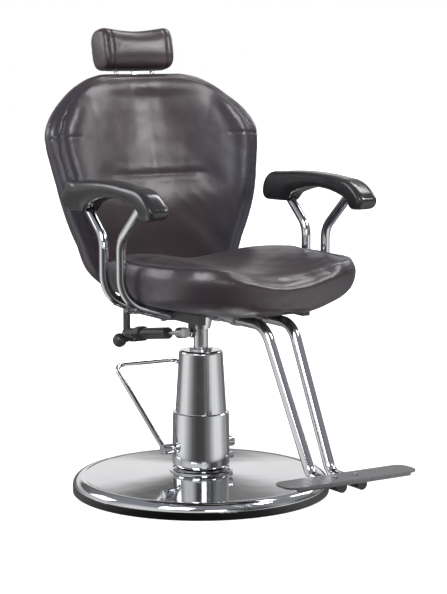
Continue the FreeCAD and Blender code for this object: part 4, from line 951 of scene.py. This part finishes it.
# %% [markdown]
# ### What a soft piece stands for
# A finished cushion takes its finish, rides a body of the frame and takes the place of a CAD solid. The
# solid is then hidden, so the two never show together.

# %% Dress a soft piece
def covers(piece, node, body, material="black_vinyl"):
    """Gives a soft piece its finish, attaches it to a body and hides the solid it takes the place of."""
    piece.data.materials.append(materials[material])
    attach(piece, body)
    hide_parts(node)
    print(piece.name, "for", node, len(piece.data.polygons), "faces")


print("soft pieces take the place of their CAD nodes")

# %% [markdown]
# ## The seat
# A wide shell: a drawn-in underside, a bulging boxing, raised side bolsters and a dished middle
# whose front edge dips. A row of the table is a level, the width, and how far the front and the
# rear reach.

# %% Loft and puff the seat
SEAT_HALF, SEAT_FRONT, SEAT_REAR = 0.257, -0.390, 0.145
SEAT_LOW, SEAT_HIGH = 0.4584, 0.1165
SEAT_TABLE = [(0.00, 0.575, 0.775, 0.84), (0.08, 0.715, 0.830, 0.90), (0.16, 0.835, 0.875, 0.94),
              (0.30, 0.935, 0.935, 0.98), (0.50, 0.990, 0.980, 0.99), (0.66, 1.000, 1.000, 0.96),
              (0.82, 0.990, 0.990, 0.84), (0.94, 0.935, 0.915, 0.58), (1.00, 0.820, 0.760, 0.34)]
SEAT_SQUARENESS, SEAT_CROWN, SEAT_CELL = 0.625, 0.002, 0.0065
DISH_DEPTH, DISH_HALF, DISH_SHARPNESS = 0.022, 0.185, 1.6
FRONT_DIP, DIP_RUN = 0.012, (0.12, 0.33)
DISH_BOTTOM, DISH_RISE = 0.492, 0.080
SEAT_HELD, SEAT_CAP, SEAT_PUCKER = (0.4590, 0.4720), 0.006, 0.35


def seat_rings(rows=44, around=168):
    across, along = once_round(around, SEAT_SQUARENESS, SEAT_SQUARENESS)
    middle, half = (SEAT_FRONT + SEAT_REAR) / 2, (SEAT_REAR - SEAT_FRONT) / 2
    rings = []
    for level, width, front, rear in eased(SEAT_TABLE, rows):
        reach = half * np.where(along > 0, rear, front)
        rings.append(np.stack([SEAT_HALF * width * across, middle + reach * along,
                               np.full(around, SEAT_LOW + SEAT_HIGH * level)], -1))
    return np.array(rings)


def seat_shape(points):
    """Dish between the bolsters, deepest at the front edge."""
    x, y, z = points.T
    across = np.clip(np.abs(x) / DISH_HALF, 0, 1)
    bowl = np.cos(across * math.pi / 2) ** DISH_SHARPNESS
    along = DISH_DEPTH + FRONT_DIP * step_between(-y, *DIP_RUN)
    upper = np.clip((z - DISH_BOTTOM) / DISH_RISE, 0, 1)
    points = points.copy()
    points[:, 2] -= bowl * along * upper
    return points


seat_cushion = cushion("seat_upholstery", seat_rings(), SEAT_CELL, SEAT_CROWN, seat_shape)
held = 1 - step_between(coordinates(seat_cushion)[:, 2], *SEAT_HELD)
blown(seat_cushion, held, SEAT_CAP, SEAT_PUCKER)
subdivided(seat_cushion)
print("seat mesh", len(seat_cushion.data.vertices), "vertices")

# %% [markdown]
# The rolled edge of the top is the ridge that catches the light. It is raised last, on the fine
# mesh, with a shallow valley behind it.

# %% Roll the seat's edge
SEAT_ROLL = [(0.236, 0.020), (0.240, -0.094), (0.238, -0.178), (0.226, -0.270), (0.202, -0.315),
             (0.175, -0.340), (0.145, -0.352), (0.100, -0.352), (0.050, -0.346), (0.000, -0.343)]
ABOVE_SEAT = 1.0
DOWN = (0, 0, -1)
VALLEY_HALF, VALLEY_FRONT = 0.2, -0.33
SEAT_WAVES, FACING_UP = 0.00022, (0.3, 0.8)

seat_roll = seam_line(seat_cushion, [(a, b, ABOVE_SEAT) for a, b in mirrored(SEAT_ROLL)], DOWN)
points = coordinates(seat_cushion)
off = from_line(points, seat_roll)
inside = (np.abs(points[:, 0]) < VALLEY_HALF) & (points[:, 1] > VALLEY_FRONT)
lift = ridge(off, height=0.0045, width=0.010) - ridge(off, height=0.0028, width=0.016, at=0.030) * inside
lift += uneven(points, SEAT_WAVES) * step_between(normals(seat_cushion)[:, 2], *FACING_UP)
lifted(seat_cushion, lift)
covers(seat_cushion, "seat_cushion", "seat")

# %% [markdown]
# ## The back
# A crescent with thick wings. The foam bulges at the lumbar, a sewn tuck crosses it, a gusset
# seam runs round the front panel with a rolled edge inside it, and short seams cross the wings
# at their widest. A row of the table is a level, the width, the thickness, and how far the wings
# come forward.

# %% Loft the back
BACK_LOW, BACK_HIGH, BACK_HALF = 0.020, 0.570, 0.290
BACK_TABLE = [(0.000, 0.340, 0.46, 0.10), (0.030, 0.470, 0.72, 0.20), (0.100, 0.655, 0.90, 0.38),
              (0.250, 0.805, 0.97, 0.64), (0.420, 0.925, 1.00, 0.88), (0.580, 0.990, 1.00, 1.03),
              (0.690, 1.020, 1.00, 1.12), (0.720, 1.020, 1.00, 1.14), (0.790, 0.970, 0.98, 1.06),
              (0.885, 0.810, 0.93, 0.82), (0.955, 0.630, 0.82, 0.50), (0.986, 0.500, 0.62, 0.30),
              (1.000, 0.400, 0.36, 0.16)]
BACK_INSET, BACK_CELL = 0.004, 0.0068
ACROSS_SQUARENESS, THROUGH_SQUARENESS = 0.6, 0.75
CROWN_FORWARD, CROWN_RUN = -0.014, (0.88, 1.0)
MIDDLE_DEPTH, WING_DEPTH = -0.025, -0.074
MIDDLE_THICKNESS, WING_THICKNESS = 0.045, 0.054


def crescent(level, across, through, width, thick, wing):
    """A point of the back's section: across and through from -1 to 1."""
    crown = CROWN_FORWARD * step_between(level, *CROWN_RUN)
    middle = MIDDLE_DEPTH + crown + (WING_DEPTH - MIDDLE_DEPTH) * wing * across ** 2
    half = (MIDDLE_THICKNESS + (WING_THICKNESS - MIDDLE_THICKNESS) * across ** 2) * thick - BACK_INSET
    return (BACK_HALF * width - BACK_INSET) * across, middle + half * through


def back_rings(rows=88, around=176):
    across, through = once_round(around, ACROSS_SQUARENESS, THROUGH_SQUARENESS)
    height = BACK_HIGH - BACK_LOW - 2 * BACK_INSET
    rings = []
    for level, width, thick, wing in eased(BACK_TABLE, rows):
        x, w = crescent(level, across, through, width, thick, wing)
        rings.append(from_back(x, w, BACK_LOW + BACK_INSET + height * level))
    return np.array(rings)


print("back of", len(BACK_TABLE), "sections")

# %% [markdown]
# The front face then swells at the lumbar and hollows along the spine and under the top edge. The
# rear face stays flat, because the rear panel lies on it.

# %% Shape the back
LUMBAR_WIDTH, TOP_HOLLOW, TOP_RUN, SPINE_FADE = 0.26, 0.006, (0.470, 0.560), (0.02, 0.09)
FRONT_FACE, REAR_PLANE = (0.035, 0.062), -0.0015


def back_shape(points):
    """Lumbar bulge and hollows on the front face; flat where the rear panel lies."""
    x, w, v = to_back(points)
    bulge = ridge(v, height=0.020, width=0.095, at=0.245) * bell(x, LUMBAR_WIDTH)
    bulge = bulge - ridge(v, height=0.002, width=0.080, at=0.450)
    bulge -= TOP_HOLLOW * step_between(v, *TOP_RUN)
    hollow = ridge(x, height=0.009, width=0.11) * step_between(BACK_HIGH - v, *SPINE_FADE)
    shift = (hollow - bulge) * step_between(-w, *FRONT_FACE)
    return from_back(x, np.minimum(w + shift, REAR_PLANE), v)


back_cushion = cushion("back_upholstery", back_rings(), BACK_CELL, shape=back_shape)
print("back mesh", len(back_cushion.data.vertices), "vertices")

# %% [markdown]
# The tuck and the gusset seam hold the cover down while the rest is blown up. They don't hold it
# fully, because thread gives way into the foam.

# %% Puff the back round its seams
GUSSET = [(0.000, 0.561), (0.060, 0.560), (0.110, 0.554), (0.155, 0.539), (0.188, 0.518),
          (0.222, 0.484), (0.249, 0.447), (0.262, 0.414), (0.262, 0.366), (0.250, 0.302),
          (0.228, 0.228), (0.202, 0.160), (0.168, 0.090)]
LUMBAR_HEIGHT, LUMBAR_HALF = 0.315, 0.128
LUMBAR_CORNERS = [(-LUMBAR_HALF, LUMBAR_HEIGHT + 0.001), (0.0, LUMBAR_HEIGHT), (LUMBAR_HALF, LUMBAR_HEIGHT)]
REARWARD = from_back(0, 1, 0) - from_back(0, 0, 0)
REAR_HELD, BACK_CAP = (-0.012, -0.003), 0.008


def back_seam(corners, gap=LINE_STEP):
    """A seam on the front of the back, from corners given across and up."""
    return seam_line(back_cushion, [from_back(a, 0.0, b) for a, b in corners], REARWARD, gap)


lumbar, gusset = back_seam(LUMBAR_CORNERS), back_seam(mirrored(GUSSET[::-1]))
points = coordinates(back_cushion)
held = np.maximum(ridge(from_line(points, lumbar), height=0.6, width=0.006),
                  ridge(from_line(points, gusset), height=0.7, width=0.007))
held = np.maximum(held, step_between(to_back(points)[1], *REAR_HELD))
blown(back_cushion, np.clip(held, 0, 1), BACK_CAP)
subdivided(back_cushion)
print("gusset seam of", len(gusset), "points")

# %% [markdown]
# The seams are pressed into the finer mesh, with the rolled edge just inside the gusset seam.

# %% Press the back's seams in
FINE_STEP = 0.002
SHOULDER_HEIGHT, SHOULDER_IN, SHOULDER_OUT, SHOULDER_DROP = 0.409, 0.206, 0.292, 0.004
FRONT_SIDE, ROLL_SIDES = (0.012, 0.030), (0.16, 0.22)
TUCK_PAST, TUCK_FADE = 0.012, (0.0, 0.05)
BACK_WAVES = 0.00007


def gusset_half(v):
    """Half the width of the front panel at a height."""
    sides, heights = np.array(GUSSET[::-1]).T
    return np.interp(v, heights, sides)


lumbar, gusset = back_seam(LUMBAR_CORNERS, FINE_STEP), back_seam(mirrored(GUSSET[::-1]), FINE_STEP)
shoulders = [back_seam([(side * SHOULDER_IN, SHOULDER_HEIGHT),
                        (side * SHOULDER_OUT, SHOULDER_HEIGHT - SHOULDER_DROP)], FINE_STEP)
             for side in (-1, 1)]
points = coordinates(back_cushion)
x, w, v = to_back(points)
front_side = step_between(-w, *FRONT_SIDE)
off = from_line(points, gusset)
roll = np.where(np.abs(x) < gusset_half(v), ridge(off, height=0.0050, width=0.021, at=0.019), 0)
lift = roll * front_side * step_between(np.abs(x), *ROLL_SIDES)
lift -= ridge(off, height=0.0011, width=0.0034) * front_side
tuck = from_line(points, lumbar)
fade = step_between(LUMBAR_HALF + TUCK_PAST - np.abs(x), *TUCK_FADE)
puff = ridge(tuck, height=0.0012, width=0.010, at=0.014)
lift += (puff - ridge(tuck, height=0.0011, width=0.0026)) * fade * front_side
lift -= ridge(from_line(points, *shoulders), height=0.0013, width=0.0028)
lift += uneven(points, BACK_WAVES) * front_side
lifted(back_cushion, lift)
covers(back_cushion, "back_cushion", "back")

# %% [markdown]
# ## The rear panel
# A thin padded panel closes the back. Its outline is that of the CAD panel, found as the convex
# hull of its points, so the two always agree.

# %% Find the panel's outline
RIM_POINTS = 160


def turns_right(a, b, c):
    return (b[0] - a[0]) * (c[1] - a[1]) <= (b[1] - a[1]) * (c[0] - a[0])


def hull(points):
    """The convex outline of flat points, in order round it."""
    points = points[np.lexsort((points[:, 1], points[:, 0]))]

    def half(row):
        out = []
        for p in row:
            while len(out) > 1 and turns_right(out[-2], out[-1], p):
                out.pop()
            out.append(p)
        return out[:-1]

    return np.array(half(points) + half(points[::-1]))


def even_ring(outline, count):
    """Evenly spaced points round a closed outline."""
    closed = np.vstack([outline, outline[:1]])
    steps = np.linalg.norm(np.diff(closed, axis=0), axis=1)
    along = np.concatenate([[0], np.cumsum(steps)])
    even = np.linspace(0, along[-1], count, endpoint=False)
    return np.stack([np.interp(even, along, closed[:, k]) for k in range(2)], -1)


x, w, v = to_back(coordinates(nodes["back_rear_panel"]))
rim = even_ring(hull(np.stack([x, v], -1)), RIM_POINTS)
print("panel", (rim.max(0) - rim.min(0)).round(3), "m")

# %% [markdown]
# Rings of that outline, each smaller and farther out, make the pillow. Its inner edge is held.

# %% Loft and puff the panel
PANEL_ROWS = [(0.955, 0.0005), (0.975, 0.0010), (0.985, 0.0030), (0.985, 0.0065), (0.970, 0.0095),
              (0.94, 0.0118), (0.88, 0.0138), (0.78, 0.0158), (0.62, 0.0174), (0.42, 0.0184)]
PANEL_CELL, PANEL_HELD, PANEL_CAP = 0.0048, (0.0012, 0.0035), 0.004

middle = rim.mean(0)
panel_rings = []
for size, depth in PANEL_ROWS:
    ring = middle + (rim - middle) * size
    panel_rings.append(from_back(ring[:, 0], depth, ring[:, 1]))
rear_panel = cushion("rear_panel_upholstery", np.array(panel_rings), PANEL_CELL)
blown(rear_panel, 1 - step_between(to_back(coordinates(rear_panel))[1], *PANEL_HELD), PANEL_CAP)
subdivided(rear_panel)
covers(rear_panel, "back_rear_panel", "back")

# %% [markdown]
# ## The headrest
# A roll with a saddle in its top edge and domed end panels, each sewn on by a seam. A row of the
# table is a place along the roll, its size there, and the depth of the saddle.

# %% Make the headrest
HEAD_LOW, HEAD_HIGH, HEAD_HALF, HEAD_MIDDLE, HEAD_DEPTH = 0.579, 0.686, 0.0985, -0.018, 0.086
HEAD_TABLE = [(-1.0, 0.80, 0.0), (-0.965, 0.915, 0.0), (-0.88, 0.985, 0.05), (-0.76, 1.0, 0.25),
              (-0.4, 1.0, 0.75), (0.0, 1.0, 1.0), (0.4, 1.0, 0.75), (0.76, 1.0, 0.25),
              (0.88, 0.985, 0.05), (0.965, 0.915, 0.0), (1.0, 0.80, 0.0)]
HEAD_RISE = (HEAD_HIGH - HEAD_LOW) / 2
HEAD_SQUARENESS, HEAD_INSET, HEAD_CELL = 0.62, 0.002, 0.004
SADDLE_DEPTH = 0.0105
HEAD_SEAM, SEAM_RING_POINTS = 0.074, 97
SEAM_DEEPER, SEAM_HIGHER = 0.52, 1.04
HEAD_CAP = 0.0045


def head_rings(rows=64, around=96):
    through, up = once_round(around, HEAD_SQUARENESS, HEAD_SQUARENESS)
    rings = []
    for along, size, saddle in eased(HEAD_TABLE, rows):
        drop = np.where(up > 0, SADDLE_DEPTH * saddle, 0)
        w = HEAD_MIDDLE + (HEAD_DEPTH / 2 * size - HEAD_INSET) * through
        v = HEAD_LOW + HEAD_RISE + (HEAD_RISE * size - drop - HEAD_INSET) * up
        rings.append(from_back((HEAD_HALF - HEAD_INSET) * along, w, v))
    return np.array(rings)


def head_seams():
    """The two seams round the end panels, on the present surface."""
    through, up = once_round(SEAM_RING_POINTS, HEAD_SQUARENESS, HEAD_SQUARENESS, closed=True)
    rings = [from_back(side * HEAD_SEAM, HEAD_MIDDLE + HEAD_DEPTH * SEAM_DEEPER * through,
                       HEAD_LOW + HEAD_RISE * (1 + SEAM_HIGHER * up)) for side in (-1, 1)]
    return [on_skin(headrest, ring)[0] for ring in rings]


headrest = cushion("headrest_upholstery", head_rings(), HEAD_CELL)
off = from_line(coordinates(headrest), *head_seams())
blown(headrest, ridge(off, height=0.5, width=0.005), HEAD_CAP)
subdivided(headrest)
off = from_line(coordinates(headrest), *head_seams())
lifted(headrest, -ridge(off, height=0.0016, width=0.0024))
covers(headrest, "headrest_cushion", "headrest")

# %% [markdown]
# ## The arm pads
# Self-skinned foam, moulded over a steel insert. Each starts from its own CAD solid, because its
# outline is already right, and is remeshed and blown up a little. Its crown is raised to the even
# arch of the photograph.

# %% Make the arm pads
PAD_TOP, PAD_MIDDLE = 0.746, 0.702
PAD_FRONT, PAD_REAR = -0.288, 0.125
PAD_CELL, PAD_PASSES, PAD_CAP, PAD_PUCKER = 0.0040, 6, 0.0012, 0.1
ARCH_RISE, ARCH_LEAN, ARCH_FULLNESS = 0.0055, 1.15, 0.7
FACING_DOWN = (-0.8, -0.4)


def pad_shape(points):
    """Fuller crown along the length of the pad."""
    t = np.clip((points[:, 1] - PAD_FRONT) / (PAD_REAR - PAD_FRONT), 0, 1)
    high = step_between(points[:, 2], PAD_MIDDLE, PAD_TOP)
    points = points.copy()
    points[:, 2] += ARCH_RISE * np.sin(math.pi * t ** ARCH_LEAN) ** ARCH_FULLNESS * high
    return points


for side in ("left", "right"):
    node = side + "_arm_pad"
    pad = placed(side + "_pad_moulding", nodes[node].data.copy())
    pad.data.materials.clear()
    remeshed(pad, PAD_CELL)
    set_coordinates(pad, evened(pad, pad_shape(coordinates(pad)), PAD_PASSES))
    blown(pad, 1 - step_between(normals(pad)[:, 2], *FACING_DOWN), PAD_CAP, PAD_PUCKER)
    subdivided(pad)
    covers(pad, node, "seat", "black_moulding")

# %% [markdown]
# ## Stitches
# Every seam is closed by thread. One stitch is a slim bead, and Geometry Nodes lay it along the
# seam lines at an even spacing, turned along the seam. A loop in code would do the same, but in a
# node tree the spacing and the thread stay adjustable. The instances are realized at the end.

# %% The stitch tree
def stitch_tree():
    tree = bpy.data.node_groups.new("stitches", "GeometryNodeTree")
    tree.interface.new_socket("Seams", in_out="INPUT", socket_type="NodeSocketGeometry")
    for label in ("Spacing", "Stitch", "Thread"):
        tree.interface.new_socket(label, in_out="INPUT", socket_type="NodeSocketFloat")
    tree.interface.new_socket("Finish", in_out="INPUT", socket_type="NodeSocketMaterial")
    tree.interface.new_socket("Stitches", in_out="OUTPUT", socket_type="NodeSocketGeometry")
    start = tree.nodes.new("NodeGroupInput").outputs
    line = put(tree, "GeometryNodeMeshToCurve", Mesh=start["Seams"])
    even = put(tree, "GeometryNodeResampleCurve", settings={"mode": "LENGTH"}, Curve=line,
               Length=start["Spacing"])
    along = put(tree, "GeometryNodeInputTangent")
    turn = put(tree, "FunctionNodeAlignRotationToVector", settings={"axis": "Z"}, Vector=along)
    size = put(tree, "ShaderNodeCombineXYZ", X=start["Thread"], Y=start["Thread"],
               Z=times(tree, start["Stitch"], 0.5))
    bead = put(tree, "GeometryNodeMeshUVSphere", Segments=6, Rings=5, Radius=1.0)
    laid = put(tree, "GeometryNodeInstanceOnPoints", Points=even, Instance=bead, Rotation=turn, Scale=size)
    plain = put(tree, "GeometryNodeRealizeInstances", Geometry=laid)
    dressed = put(tree, "GeometryNodeSetMaterial", Geometry=plain, Material=start["Finish"])
    tree.links.new(dressed, tree.nodes.new("NodeGroupOutput").inputs["Stitches"])
    return tree


STITCHES = stitch_tree()
STITCH_SIZES = {"Spacing": 0.0048, "Stitch": 0.0036, "Thread": 0.00055, "Finish": materials["thread"]}
print("stitch tree of", len(STITCHES.nodes), "nodes")

# %% [markdown]
# The seams are handed to the tree as a mesh of edges. Its sizes are set by each socket's
# identifier, because that is the name a modifier knows them by.

# %% Sew the seams
ABOVE_SKIN = 0.0002


def stitched(name, thing, lines, body):
    """Stitches along lines on the surface of a piece."""
    points, edges = [], []
    for line in lines:
        spots, ways = on_skin(thing, line)
        first = len(points)
        points += (spots + ways * ABOVE_SKIN).tolist()
        edges += [(k, k + 1) for k in range(first, len(points) - 1)]
    mesh = bpy.data.meshes.new(name)
    mesh.from_pydata(points, edges, [])
    piece = placed(name, mesh)
    modifier = piece.modifiers.new("stitches", "NODES")
    modifier.node_group = STITCHES
    for socket in STITCHES.interface.items_tree:
        if socket.in_out == "INPUT" and socket.name in STITCH_SIZES:
            modifier[socket.identifier] = STITCH_SIZES[socket.name]
    settled(piece)
    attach(piece, body)
    print(name, len(piece.data.polygons), "faces of thread")


stitched("back_stitches", back_cushion, [lumbar, gusset, *shoulders], "back")
stitched("headrest_stitches", headrest, head_seams(), "headrest")
